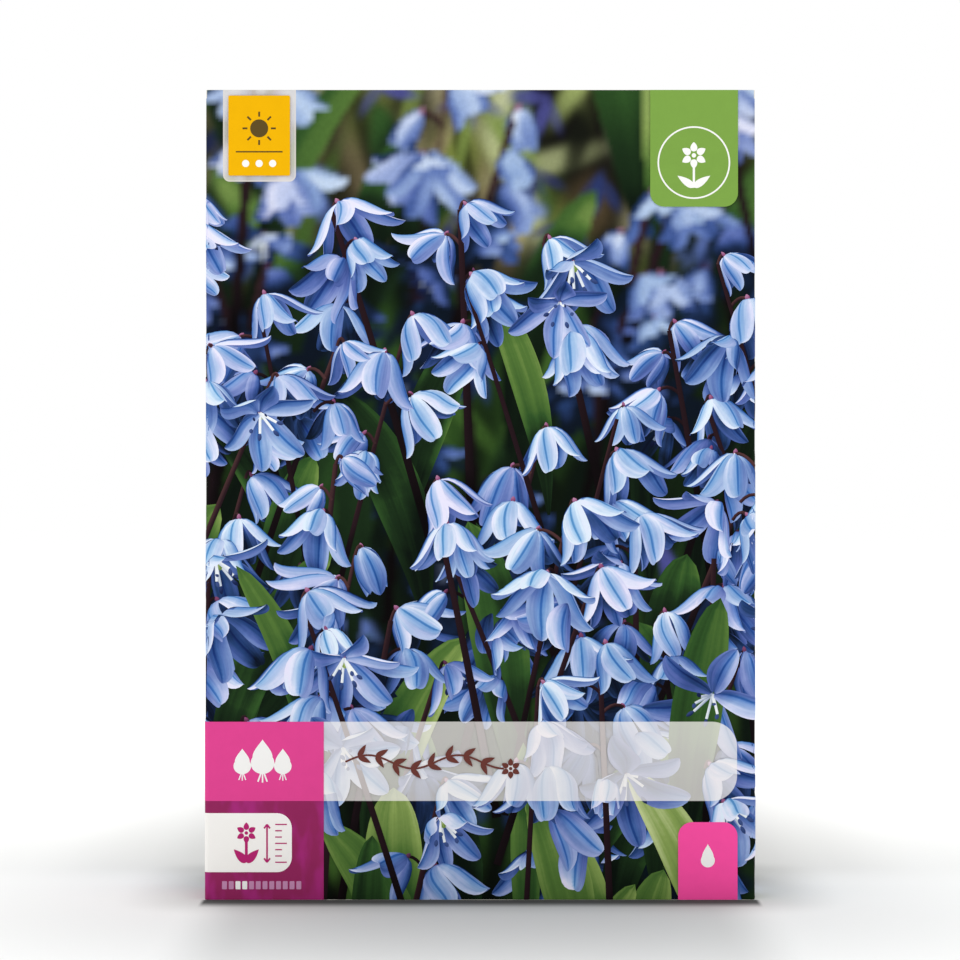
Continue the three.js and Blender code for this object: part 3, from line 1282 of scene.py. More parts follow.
@dataclass
class Press:
    """Lights the cut-outs, orders them and presses them flat on the board.

    Narrow and wide are reaches within which a cut-out is shaded by what stands in front of it,
    each with the depth at which the shade is full. Dusk is the height below which what is far
    away is darker, and how far below it the dark is full. A cut-out bulges by a share of a level.
    """

    wrap: Wrap
    cell: float = 0.5 * MM
    first_lift: float = 0.04 * MM
    last_lift: float = 0.28 * MM
    sun: Place = (-0.38, -0.55, 0.74)
    margin: float = 30 * MM
    behind_all: float = 60 * MM
    narrow: tuple[float, ...] = mm(2.2, 16)
    wide: tuple[float, ...] = mm(6.0, 34)
    dusk: tuple[float, ...] = mm(152, 30)
    bulge: float = 0.55
    level_step: float = 0.0

    def light(self, blades: list[Blade]) -> None:
        """Fixes each cut-out's shade from its slope and from what stands in front of it.

        Args:
            blades: The cut-outs.
        """
        nearest = np.full(self._raster(), self.behind_all)
        for blade in blades:
            filled = blade.filled(self.cell)
            np.minimum.at(nearest, self._cells(filled, nearest.shape), filled[:, 1])
        covers = [
            (blurred(nearest, int(reach / self.cell)), fade) for reach, fade in (self.narrow, self.wide)
        ]
        sun = np.array(self.sun) / np.linalg.norm(self.sun)
        for blade in blades:
            normal = blade.outward()
            inside = normal[:, :, 1] > 0
            facing = np.where(inside[:, :, None], -normal, normal)
            bright = np.clip(0.5 + 0.5 * facing @ sun, 0, 1)
            cells = self._cells(blade.points.reshape(-1, 3), nearest.shape)
            away, up = blade.points[:, :, 1], blade.points[:, :, 2]
            covered = sum(
                np.clip((away - near[cells].reshape(away.shape)) / fade, 0, 1)
                for near, fade in covers
            )
            shade = 0.28 + 0.70 * bright**1.3
            shade = np.where(inside, shade * 0.93, shade)
            shade *= 1 - 0.8 * np.clip(covered, 0, 1)
            dusk, fade = self.dusk
            below = np.clip((dusk - up) / fade, 0, 1)
            shade -= 0.14 * below * np.clip(away / self.behind_all, 0, 1)
            blade.shade = np.clip(shade + blade.glow, 0.0, 1.0)
            if blade.motif is Motif.LEAF:
                rise = np.linspace(0, 1, len(shade))[:, None]
                blade.shade *= 0.18 + 0.68 * np.minimum(rise / 0.45, 1)

    def stack(self, blades: list[Blade]) -> None:
        """Gives each cut-out its level: one above the highest that lies under it.

        Args:
            blades: The cut-outs.
        """
        heap = np.zeros(self._raster(), int)
        for blade in sorted(blades, key=lambda b: -b.depth):
            rows, columns = self._cells(blade.filled(self.cell), heap.shape)
            blade.level = int(heap[rows, columns].max()) + 1
            heap[rows, columns] = blade.level
        self.level_step = (self.last_lift - self.first_lift) / (heap.max() + 1)
        log.info("picture: %d cut-outs in %d levels", len(blades), heap.max())

    def _raster(self) -> tuple[int, int]:
        """How many rows and columns the board's raster has."""
        across = 2 * self.wrap.back_start + 2 * self.margin
        return int((LID_BACK + 2 * self.margin) / self.cell), int(across / self.cell)

    def _cells(self, points: Array, shape: tuple[int, int]) -> tuple[Array, Array]:
        """Finds the cells of the board's raster that points lie in.

        Args:
            points: The points, in rows.
            shape: The raster's rows and columns.

        Returns:
            The cells' rows and columns.
        """
        columns = ((points[:, 0] + self.wrap.back_start + self.margin) / self.cell).astype(int)
        rows = ((points[:, 2] + self.margin) / self.cell).astype(int)
        return np.clip(rows, 0, shape[0] - 1), np.clip(columns, 0, shape[1] - 1)

    def piece(
        self, name: str, blades: list[Blade], trim: Area, materials: list[Material]
    ) -> Piece | None:
        """Makes one piece of the print from cut-outs.

        Args:
            name: The piece's name.
            blades: Its cut-outs.
            trim: The part of the unrolled board that the print covers.
            materials: One material for each motif.

        Returns:
            The piece, or None where all of it is trimmed away.
        """
        mesh = bmesh.new()
        layers = (
            mesh.verts.layers.float_color.new("light"),
            mesh.loops.layers.uv.new("blade"),
            mesh.faces.layers.int.new("order"),
        )
        for i, blade in enumerate(sorted(blades, key=lambda b: (b.level, -b.depth))):
            self._add(mesh, blade, i, layers)
        trim_to(mesh, trim)
        cut_along(mesh, self.wrap)
        if not mesh.faces:
            mesh.free()
            return None
        mesh.faces.sort(key=lambda face: face[layers[2]])
        xs, zs = ([v.co[i] for v in mesh.verts] for i in (0, 2))
        lay_plan(mesh, Area(min(xs), max(xs), min(zs), max(zs)))
        for vert in mesh.verts:
            vert.co = self.wrap.bend(vert.co.x, vert.co.z, -vert.co.y)
        return finished(name, mesh, materials)

    def _add(self, mesh: Mesh, blade: Blade, index: int, layers: tuple[object, ...]) -> None:
        """Adds one cut-out to a mesh, flat, its height out of the board along -Y.

        Args:
            mesh: The mesh.
            blade: The cut-out.
            index: Its place in the order, from the board outwards.
            layers: The mesh's layers for light, for the place on a blade and for the order.
        """
        light, along, order = layers
        rows, columns = (n - 1 for n in blade.shade.shape)
        made = bmesh.ops.create_grid(mesh, x_segments=columns, y_segments=rows, size=0.5)
        depth = blade.points[:, :, 1]
        near = (depth.max() - depth) / max(float(np.ptp(depth)), 1e-6)
        lift = self.first_lift + self.level_step * (blade.level + self.bulge * near)
        faces = set()
        shares = {}
        for vert in made["verts"]:
            across, up = vert.co.x + 0.5, vert.co.y + 0.5
            column, row = round(across * columns), round(up * rows)
            shares[vert] = (across, up)
            s, _, z = blade.points[row, column]
            vert[light] = (float(blade.shade[row, column]), blade.hue, blade.chance, 1.0)
            vert.co = (s, -float(lift[row, column]), z)
            faces.update(vert.link_faces)
        for face in faces:
            face.material_index = blade.motif.value
            face.smooth = True
            face[order] = index
            for loop in face.loops:
                loop[along].uv = shares[loop.vert]
            face_viewer(face)


def trim_to(mesh: Mesh, area: Area) -> None:
    """Cuts a flat drawing off outside an area.

    Args:
        mesh: The drawing.
        area: What stays.
    """
    for place, normal in (
        ((area.left, 0, 0), (-1, 0, 0)), ((area.right, 0, 0), (1, 0, 0)),
        ((0, 0, area.low), (0, 0, -1)), ((0, 0, area.high), (0, 0, 1)),
    ):
        bmesh.ops.bisect_plane(
            mesh, geom=mesh.verts[:] + mesh.edges[:] + mesh.faces[:], plane_co=place,
            plane_no=normal, clear_outer=True,
        )


def cut_along(mesh: Mesh, surface: Surface) -> None:
    """Cuts a flat drawing where its surface bends, and keeps both sides of each cut.

    Args:
        mesh: The drawing.
        surface: The surface that it will lie on.
    """
    for axis, places in ((0, surface.cuts()), (2, surface.folds())):
        for place in places:
            lows = min((v.co[axis] for v in mesh.verts), default=0.0)
            highs = max((v.co[axis] for v in mesh.verts), default=0.0)
            if lows < place < highs:
                bmesh.ops.bisect_plane(
                    mesh, geom=mesh.verts[:] + mesh.edges[:] + mesh.faces[:],
                    plane_co=[place if i == axis else 0 for i in range(3)],
                    plane_no=[1 if i == axis else 0 for i in range(3)],
                )


def blurred(values: Array, reach: int, passes: int = 3) -> Array:
    """Smooths a raster with a box that is passed over it both ways.

    Args:
        values: The raster.
        reach: How many cells the box reaches to each side.
        passes: How often it is passed over.

    Returns:
        The smooth raster.
    """
    span = 2 * reach + 1
    for _ in range(passes):
        for _ in range(2):
            sums = np.cumsum(np.pad(values, ((reach + 1, reach), (0, 0)), "edge"), axis=0)
            values = ((sums[span:] - sums[:-span]) / span).T
    return values


# The picture's ground, out of focus
# ----------------------------------


@dataclass
class Ground:
    """The print's ground, sheets whose points hold soft colours: leaves, shade and far flowers.

    The colours are painted on one raster of the whole unrolled outside, from which each sheet
    reads its own. Soil holds the tones under everything: at the foot, at the top and beyond it.
    """

    wrap: Wrap
    seed: int = 5
    cell: float = 0.6 * MM
    lift: float = 0.02 * MM
    strip: float = 0.12 * MM
    soil: tuple[str, str, str] = ("#050A07", "#0A120A", "#15120D")
    discs: int = 330
    leaves: int = 380
    pale_leaves: int = 84
    flowers: int = 130
    petal: tuple[float, ...] = mm(3.2, 1.2)

    def paint(self) -> None:
        """Paints the unrolled outside with soft strokes, from far to near."""
        self.rng = Random(self.seed)
        self.left, self.right = -self.wrap.back_start, self.wrap.back_end
        self.s = np.arange(self.left, self.right + 2 * self.cell, self.cell)
        self.z = np.arange(0.0, LID_BACK + 2 * self.cell, self.cell)
        up = (self.z / TOP)[:, None, None]
        dark, mossy, far = (np.array(ink(code)[:3]) for code in self.soil)
        wash = dark + (mossy - dark) * np.minimum(up, 1)
        wash = wash + (far - mossy) * np.clip((up - 0.74) / 0.22, 0, 1)
        self.wash = np.broadcast_to(wash, (len(self.z), len(self.s), 3)).copy()
        self._bokeh()
        self._leaves()
        self._pale_leaves()
        self._flowers()

    def _stroke(
        self, s: float, z: float, long: float, wide: float, turn: float, code: str, share: float
    ) -> None:
        """Lays one soft stroke of colour.

        Args:
            s: Its middle along the drawing.
            z: Its middle's height.
            long: Half its length.
            wide: Half its width.
            turn: The angle of its length.
            code: Its colour.
            share: How much of the colour it lays.
        """
        reach = 2.6 * max(long, wide)
        columns = np.abs(self.s - s) < reach
        rows = np.abs(self.z - z) < reach
        if not columns.any() or not rows.any():
            return
        ds = self.s[columns][None, :] - s
        dz = self.z[rows][:, None] - z
        a = (ds * math.cos(turn) + dz * math.sin(turn)) / long
        b = (dz * math.cos(turn) - ds * math.sin(turn)) / wide
        weight = (share * np.exp(-0.5 * (a**2 + b**2) ** 1.6))[:, :, None]
        window = np.ix_(rows, columns)
        self.wash[window] = self.wash[window] * (1 - weight) + np.array(ink(code)[:3]) * weight

    def _bokeh(self) -> None:
        """Lays soft discs of brown, olive and dark shade along the top."""
        rng = self.rng
        codes = (
            *("#8A7C5C", "#A8A074", "#C6BE94", "#5C6434", "#6E5C40", "#76823C"),
            *("#17140F", "#0E0D0A", "#0A0A08", "#100E0B"),
        )
        for _ in range(self.discs):
            z = LID_BACK - rng.random() ** 0.8 * 0.42 * TOP
            wide = rng.uniform(1.5, 6) * MM
            s = rng.uniform(self.left, self.right)
            turn = math.pi / 2 + rng.uniform(-0.5, 0.5)
            long = wide * rng.uniform(1, 2.4)
            self._stroke(s, z, long, wide, turn, rng.choice(codes), rng.uniform(0.5, 0.95))

    def _leaves(self) -> None:
        """Lays long soft blades."""
        rng = self.rng
        codes = ("#10200E", "#182C14", "#2F4F20", "#1E3618", "#070E06", "#466A2C", "#060B05")
        for _ in range(self.leaves):
            z = rng.uniform(-5, 172) * MM
            s = rng.uniform(self.left, self.right)
            turn = math.pi / 2 + rng.gauss(0, 0.35)
            long, wide = rng.uniform(9, 22) * MM, rng.uniform(1.5, 3.2) * MM
            self._stroke(s, z, long, wide, turn, rng.choice(codes), rng.uniform(0.45, 0.9))

    def _pale_leaves(self) -> None:
        """Lays sunlit blades near the top."""
        rng = Random(self.seed + 1)
        codes = ("#98A664", "#B4BC88", "#CFD2AA", "#7A8E46", "#9A9068", "#12140D")
        for _ in range(self.pale_leaves):
            s, z = rng.uniform(self.left, self.right), rng.uniform(158, 204) * MM
            turn = math.pi / 2 + rng.gauss(0, 0.5)
            long, wide = rng.uniform(6, 13) * MM, rng.uniform(1.1, 2.8) * MM
            self._stroke(s, z, long, wide, turn, rng.choice(codes), rng.uniform(0.55, 0.95))

    def _flowers(self) -> None:
        """Lays far flowers, each a cluster of soft petals."""
        rng = self.rng
        codes = ("#18224A", "#26366A", "#3C5090", "#5C72B2", "#2A2E62", "#4C4E90")
        for _ in range(self.flowers):
            s, z = rng.uniform(self.left, self.right), (212 - 205 * rng.random() ** 1.6) * MM
            code = rng.choice(codes)
            for _ in range(rng.randint(3, 6)):
                turn = -math.pi / 2 + rng.gauss(0, 0.9)
                away = rng.uniform(2.5, 5) * MM
                a, b = s + away * math.cos(turn), z + away * math.sin(turn)
                strength = rng.uniform(0.4, 0.8)
                self._stroke(a, b, *self.petal, turn, code, strength)

    def dab(self, blades: list[Blade], passes: int) -> None:
        """Paints cut-outs into the ground, out of focus.

        Args:
            blades: The cut-outs, with their light.
            passes: How often they are smoothed.
        """
        layer = np.zeros((*self.wash.shape[:2], 4))
        for blade in sorted(blades, key=lambda b: -b.depth):
            p = blade.filled(0.8 * self.cell)
            columns = np.round((p[:, 0] - self.left) / self.cell).astype(int)
            rows = np.round(p[:, 2] / self.cell).astype(int)
            kept = (rows >= 0) & (rows < len(self.z)) & (columns >= 0) & (columns < len(self.s))
            colour = PICTURE_INKS[blade.motif].read(p[kept, 3], p[kept, 4])
            colour *= 1 + blade.hue * (np.array(WARMER[:3]) - 1)
            layer[rows[kept], columns[kept], :3] = colour
            layer[rows[kept], columns[kept], 3] = 1.0
        soft = np.stack([blurred(layer[:, :, i], 1, passes) for i in range(4)], axis=2)
        self.wash = self.wash * (1 - soft[:, :, 3:]) + soft[:, :, :3]

    def sheet(
        self, name: str, area: Area, material: Material, surface: Surface | None = None,
        holes: Iterable[Point] = (), radius: float = 0.0, backing: Material | None = None,
    ) -> Piece:
        """Makes one sheet of the ground.

        Args:
            name: The piece's name.
            area: The part of the unrolled outside that it covers.
            material: Its material.
            surface: What it lies on, if not the walls.
            holes: The middles of round holes in it.
            radius: The holes' radius.
            backing: The material of its back, if it has one: it is a strip of board then.

        Returns:
            The sheet.
        """
        surface = surface or self.wrap
        mesh = bmesh.new()
        wash = mesh.verts.layers.float_color.new("wash")
        wide, tall = area.right - area.left, area.high - area.low
        columns, rows = max(1, round(wide / self.cell)), max(1, round(tall / self.cell))
        bmesh.ops.create_grid(mesh, x_segments=columns, y_segments=rows, size=0.5)
        for vert in mesh.verts:
            s, z = area.at(vert.co.x + 0.5, vert.co.y + 0.5)
            vert.co = (s, 0, z)
        for hole in holes:
            self._pierce(mesh, hole, radius)
        cut_along(mesh, surface)
        for face in mesh.faces:
            face.smooth = True
            face_viewer(face)
        plan = lay_plan(mesh, area)
        for vert in mesh.verts:
            s, z = vert.co.x, vert.co.z
            vert[wash] = (*self._read(s, z), 1.0)
            vert.co = surface.bend(s, z, self.lift)
        if not backing:
            return finished(name, mesh, [material])
        mesh.loops.layers.uv.remove(plan)
        outside = mesh.faces[:]
        mesh.normal_update()
        bmesh.ops.solidify(mesh, geom=outside, thickness=self.strip)
        for face in set(mesh.faces) - set(outside):
            face.material_index = 1
        return finished(name, mesh, [material, backing])

    def _pierce(self, mesh: Mesh, hole: Point, radius: float) -> None:
        """Opens a round hole in a flat grid.

        Args:
            mesh: The grid. Its points close to the circle are moved onto it.
            hole: The hole's middle.
            radius: The hole's radius.
        """
        middle = Vector((hole[0], 0, hole[1]))
        for vert in mesh.verts:
            way = vert.co - middle
            if abs(way.length - radius) < 0.72 * self.cell:
                vert.co = middle + way.normalized() * radius
        inside = [f for f in mesh.faces if (f.calc_center_median() - middle).length < radius]
        bmesh.ops.delete(mesh, geom=inside, context="FACES")

    def _read(self, s: float, z: float) -> tuple[float, ...]:
        """Reads the raster between the four points nearest to a place.

        Args:
            s: The place along the drawing.
            z: Its height.

        Returns:
            Red, green and blue.
        """
        across = min(max((s - self.left) / self.cell, 0), len(self.s) - 1.001)
        up = min(max(z / self.cell, 0), len(self.z) - 1.001)
        column, row = int(across), int(up)
        a, b = across - column, up - row
        lower = self.wash[row, column] * (1 - a) + self.wash[row, column + 1] * a
        upper = self.wash[row + 1, column] * (1 - a) + self.wash[row + 1, column + 1] * a
        return tuple(float(c) for c in lower * (1 - b) + upper * b)


# Blocks and signs
# ----------------


@dataclass
class Stencil:
    """Draws flat shapes of ink on the unrolled board, and lays them on the carton as one piece.

    The shapes are drawn about a middle of their own, from which the shift moves them to their
    place on the board. Each lies a hair above the last, where they overlap.
    """

    name: str
    surface: Surface
    lift: float
    shift: Point = (0.0, 0.0)
    thick: float = 0.01 * MM
    hair: float = 0.0006 * MM
    segments: int = 40

    def __post_init__(self) -> None:
        """Starts with nothing drawn."""
        self.mesh = bmesh.new()
        self.shapes = 0

    def _next(self) -> float:
        """The next shape's depth, which is below 0 towards the viewer."""
        self.shapes += 1
        return -self.hair * self.shapes

    def _round(self, place: Callable[[float, float], Point]) -> None:
        """Draws a shape with a round outline.

        Args:
            place: Where a point of the circle of radius one goes.
        """
        height = self._next()
        made = bmesh.ops.create_circle(self.mesh, cap_ends=True, segments=self.segments, radius=1.0)
        for vert in made["verts"]:
            s, z = place(vert.co.x, vert.co.y)
            vert.co = (s, height, z)

    def block(self, area: Area) -> Stencil:
        """Draws a rectangle with rounded corners.

        Args:
            area: The rectangle.

        Returns:
            The stencil, to lay it.
        """
        height = self._next()
        made = bmesh.ops.create_grid(self.mesh, x_segments=1, y_segments=1, size=0.5)
        for vert in made["verts"]:
            s, z = area.at(vert.co.x + 0.5, vert.co.y + 0.5)
            vert.co = (s, height, z)
        if area.corner:
            bmesh.ops.bevel(
                self.mesh, geom=made["verts"], offset=area.corner, segments=8, profile=0.5,
                affect="VERTICES", material=-1,
            )
        return self

    def disc(self, at: Point, long: float, wide: float) -> None:
        """Draws an ellipse of these half lengths."""
        self._round(lambda a, b: (at[0] + a * long, at[1] + b * wide))

    def half_disc(self, at: Point, radius: float) -> None:
        """Draws the right half of a disc, the other half drawn in to its straight edge.

        Args:
            at: The disc's middle.
            radius: Its radius.
        """
        self._round(lambda a, b: (at[0] + radius * max(a, 0.0), at[1] + radius * b))
        bmesh.ops.remove_doubles(self.mesh, verts=self.mesh.verts[:], dist=1e-7)

    def leaf(self, at: Point, long: float, wide: float, turn: float, point: float = 1.0) -> None:
        """Draws a leaf or a petal.

        Args:
            at: Its foot.
            long: Its length.
            wide: Its width.
            turn: The direction of its length.
            point: How sharply its end is drawn out.
        """

        def place(x: float, y: float) -> Point:
            """Draws the circle out to a point at its far end, and turns it."""
            along = (x + 1) / 2
            a, b = along * long, y * ((1 - along) ** (0.5 * point) * 1.25) * wide / 2
            return (
                at[0] + a * math.cos(turn) - b * math.sin(turn),
                at[1] + a * math.sin(turn) + b * math.cos(turn),
            )

        self._round(place)

    def line(self, start: Point, end: Point, wide: float) -> None:
        """Draws a straight line.

        Args:
            start: Its start.
            end: Its end.
            wide: Its width.
        """
        height = self._next()
        a, b = Vector((*start, 0)), Vector((*end, 0))
        way = (b - a).normalized()
        side = Vector((-way.y, way.x, 0)) * wide / 2
        made = bmesh.ops.create_grid(self.mesh, x_segments=1, y_segments=1, size=0.5)
        for vert in made["verts"]:
            point = a.lerp(b, vert.co.x + 0.5) + side * (2 * vert.co.y)
            vert.co = (point.x, height, point.y)

    def ring(self, at: Point, radius: float, wide: float) -> None:
        """Draws a ring.

        Args:
            at: Its middle.
            radius: The radius of its middle line.
            wide: The line's width.
        """
        height = self._next()
        made = bmesh.ops.create_circle(self.mesh, segments=64, radius=1.0)
        edges = list({e for v in made["verts"] for e in v.link_edges})
        grown = bmesh.ops.extrude_edge_only(self.mesh, edges=edges)
        outer = {v for v in grown["geom"] if isinstance(v, bmesh.types.BMVert)}
        for vert in made["verts"] + list(outer):
            r = radius + (wide / 2 if vert in outer else -wide / 2)
            vert.co = (at[0] + r * vert.co.x, height, at[1] + r * vert.co.y)

    def arrow(self, start: Point, end: Point, wide: float, head: float) -> None:
        """Draws a line with an open head at its end.

        Args:
            start: Its start.
            end: Its end.
            wide: The lines' width.
            head: The length of the head's two lines.
        """
        self.line(start, end, wide)
        way = math.atan2(end[1] - start[1], end[0] - start[0])
        for turn in (way + 2.5, way - 2.5):
            tail = (end[0] + head * math.cos(turn), end[1] + head * math.sin(turn))
            self.line(end, tail, wide)

    def lay(self, material: Material, trim: Area | None = None) -> Piece:
        """Gives the ink its thickness, bends it round the carton and makes it a piece.

        Args:
            material: The ink's material.
            trim: Where the board ends, if the ink runs past it.

        Returns:
            The piece.
        """
        mesh = self.mesh
        for face in mesh.faces:
            face_viewer(face)
        for vert in mesh.verts:
            vert.co += Vector((self.shift[0], 0, self.shift[1]))
        if trim:
            trim_to(mesh, trim)
        cut_along(mesh, self.surface)
        bmesh.ops.triangulate(mesh, faces=[f for f in mesh.faces if len(f.verts) > 4])
        bottom = bmesh.ops.duplicate(mesh, geom=mesh.verts[:] + mesh.edges[:] + mesh.faces[:])
        under = [e for e in bottom["geom"] if isinstance(e, bmesh.types.BMVert)]
        lower = set(under)
        flipped = [f for f in bottom["geom"] if isinstance(f, bmesh.types.BMFace)]
        pairs = bottom["vert_map"]
        rims = [e for e in mesh.edges if e.is_boundary and e.verts[0] not in lower]
        for edge in rims:
            a, b = edge.verts
            loop = edge.link_loops[0]
            if loop.vert is not a:
                a, b = b, a
            mesh.faces.new((b, a, pairs[a], pairs[b]))
        bmesh.ops.reverse_faces(mesh, faces=flipped)
        for vert in mesh.verts:
            lift = self.lift - (self.thick if vert in lower else vert.co.y)
            vert.co = self.surface.bend(vert.co.x, vert.co.z, lift)
        return finished(self.name, mesh, [material])


# The carton
# ----------


@dataclass
class Carton:
    """The board, its print and its signs.

    Prints end a wall edge below the walls' tops. The lid's and the flaps' margins are what stays
    bare at their front and their back, the lid tabs run from and to these distances behind the
    front, and the holes' places are across and up on the back.
    """

    wrap: Wrap
    board: Material
    block_lift: float = 0.32 * MM
    sign_lift: float = 0.34 * MM
    wall_edge: float = 0.05 * MM
    focus_end: float = 52 * MM
    crease_radius: float = 0.15 * MM
    lid_crease_length: float = 1.235 * MM
    flap_crease_length: float = 1.54 * MM
    lid_margins: tuple[float, ...] = mm(1.0, 0.35)
    flap_margins: tuple[float, ...] = mm(3.8, 0.6)
    lid_tabs: tuple[float, ...] = mm(1.0, 39.6)
    hole_radius: float = 3.05 * MM
    holes: tuple[Point, ...] = tuple(mm(x, z) for z in (30, 118) for x in (-40, 0, 40))

    def build(self) -> None:
        """Dresses the carton's board and prints its outside."""
        self._board()
        end = self.wrap.side_end + 2 * MM
        near, far = Meadow(-end, end, seed=11).grow()
        press = Press(self.wrap)
        press.light(near + far)
        press.stack(near)
        self._grounds(far)
        self._picture(press, near)
        self._blocks()
        self._front_signs()
        self._back_signs()

    def _placed(self, piece: Piece, body: str = "carton") -> None:
        """Fixes a printed piece to its body and reports it.

        Args:
            piece: The piece.
            body: The body that it moves with.
        """
        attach(piece, body)
        log.info("print: %s on %s, %d faces", piece.name, body, len(piece.data.polygons))

    def _board(self) -> None:
        """Gives the board's own nodes their finish."""
        for name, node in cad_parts.items():
            if name.startswith("bulb"):
                continue
            node.data.materials.clear()
            node.data.materials.append(self.board)
            log.info("board: %s", name)
        self._base()

    def _base(self) -> None:
        """Makes the bottom's outer panel again, its corners rounded as the walls above it are."""
        low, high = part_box("bottom_outer_panel")
        mesh = bmesh.new()
        bmesh.ops.create_cube(mesh, size=1.0)
        bmesh.ops.scale(mesh, vec=high - low, verts=mesh.verts)
        bmesh.ops.translate(mesh, vec=(low + high) / 2, verts=mesh.verts)
        upright = [e for e in mesh.edges if abs(e.verts[0].co.z - e.verts[1].co.z) > 0.1 * MM]
        bmesh.ops.bevel(
            mesh, geom=upright, offset=self.wrap.corner, offset_type="OFFSET", segments=4,
            profile=0.5, affect="EDGES", material=-1,
        )
        piece = finished("base_board", mesh, [self.board])
        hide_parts("bottom_outer_panel")
        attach(piece, "carton")
        log.info("board: %s, %d faces", piece.name, len(piece.data.polygons))

    def _surfaces(self) -> dict[str, Panel]:
        """The lid's top, and the creases that join the lid and the dust flaps to the walls."""
        wrap, radius = self.wrap, self.crease_radius
        lid_top, flap_top = (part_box(name)[1].z for name in ("lid", "dust_flap_left"))
        base = BACK_TOP - self.wall_edge
        panels = {
            "lid": Panel((0, -wrap.half_depth, lid_top), (1, 0, 0), (0, 1, 0), (0, TOP)),
            "lid_crease": Panel(
                (0, wrap.half_depth, base), (-1, 0, 0), (0, 0, 1), (wrap.back_middle, base),
                lid_top - radius - base, radius,
            ),
        }
        base = SIDE_TOP - self.wall_edge
        for side, s in (("right", 1), ("left", -1)):
            panels[f"{side}_crease"] = Panel(
                (s * wrap.half_width, wrap.corner - wrap.half_depth, base), (0, s, 0), (0, 0, 1),
                (s * wrap.side_start, base), flap_top - radius - base, radius,
            )
        return panels

    def _grounds(self, far: list[Blade]) -> None:
        """Prints the picture's ground on the walls, the lid and the creases.

        Args:
            far: The cut-outs that are out of focus, with their light.
        """
        ground = Ground(self.wrap)
        ground.paint()
        ground.dab([b for b in far if b.depth > self.focus_end], 3)
        ground.dab([b for b in far if b.depth <= self.focus_end], 1)
        wash = WashFinish().material()
        back = WashFinish("back_ground", (BACK_FIELD,)).material()
        self._wall_grounds(ground, wash, back)
        self._top_grounds(ground, wash)

    def _wall_grounds(self, ground: Ground, wash: Material, back: Material) -> None:
        """Prints the ground on the four walls.

        Args:
            ground: The painted ground.
            wash: Its material on the front and the sides.
            back: Its material on the back.
        """
        wrap, edge = self.wrap, self.wall_edge
        walls = {
            "front_print": Area(-wrap.front_edge, wrap.front_edge, FOOT, TOP - edge),
            "right_print": Area(wrap.front_edge, wrap.back_edge, FOOT, SIDE_TOP - edge),
            "left_print": Area(-wrap.back_start, -wrap.front_edge, FOOT, SIDE_TOP - edge),
        }
        for name, area in walls.items():
            self._placed(ground.sheet(name, area, wash))
        holes = [(wrap.back_middle - x, z) for x, z in self.holes]
        area = Area(wrap.back_edge, wrap.back_end, FOOT, BACK_TOP - edge)
        radius = self.hole_radius
        self._placed(ground.sheet("back_print", area, back, holes=holes, radius=radius))

    def _top_grounds(self, ground: Ground, wash: Material) -> None:
        """Prints the ground on the lid, and on the creases that bend with the lid and the flaps.

        Args:
            ground: The painted ground.
            wash: Its material.
        """
        wrap, panels = self.wrap, self._surfaces()
        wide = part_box("lid")[1].x - self.wall_edge
        near, far = self.lid_margins
        area = Area(-wide, wide, TOP + near, TOP + 2 * wrap.half_depth - far)
        self._placed(ground.sheet("lid_print", area, wash, panels["lid"]), "lid")
        middle, base = panels["lid_crease"].start
        area = Area(middle - wide, middle + wide, base, base + self.lid_crease_length)
        crease = ground.sheet("lid_crease", area, wash, panels["lid_crease"], backing=self.board)
        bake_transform(crease)
        near, far = self.flap_margins
        for side, s in (("right", 1), ("left", -1)):
            panel = panels[f"{side}_crease"]
            base = panel.start[1]
            ends = sorted((s * (wrap.side_start + near), s * (wrap.side_end - far)))
            area = Area(*ends, base, base + self.flap_crease_length)
            crease = ground.sheet(f"{side}_flap_crease", area, wash, panel, backing=self.board)
            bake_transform(crease)
            log.info("print: %s", crease.name)

    def _picture(self, press: Press, blades: list[Blade]) -> None:
        """Prints the flowers in focus on the front and the side walls.

        Args:
            press: What lays them on the board.
            blades: The cut-outs, with their light and their levels.
        """
        wrap = self.wrap
        inks = [PICTURE_INKS[motif].material() for motif in Motif]
        columns = (-wrap.front, -20 * MM, 20 * MM, wrap.front)
        rows = mm(45, 90, 135)
        plots: dict[tuple[int, int], list[Blade]] = {
            (i, j): [] for i in range(len(columns) + 1) for j in range(len(rows) + 1)
        }
        for blade in blades:
            s, z = blade.middle
            plots[bisect_right(columns, s), bisect_right(rows, z)].append(blade)
        for (i, j), chosen in plots.items():
            for part, trim in self._trims().items():
                piece = press.piece(f"{part}_flowers_{i + 1}_{j + 1}", chosen, trim, inks)
                if piece:
                    self._placed(piece)

    def _trims(self) -> dict[str, Area]:
        """The parts of the unrolled walls that carry flowers: the side walls are lower."""
        wrap, side_top = self.wrap, SIDE_TOP - self.wall_edge
        return {
            "front": Area(-wrap.front_edge, wrap.front_edge, FOOT, TOP - self.wall_edge),
            "right": Area(wrap.front_edge, wrap.side_end, FOOT, side_top),
            "left": Area(-wrap.side_end, -wrap.front_edge, FOOT, side_top),
        }

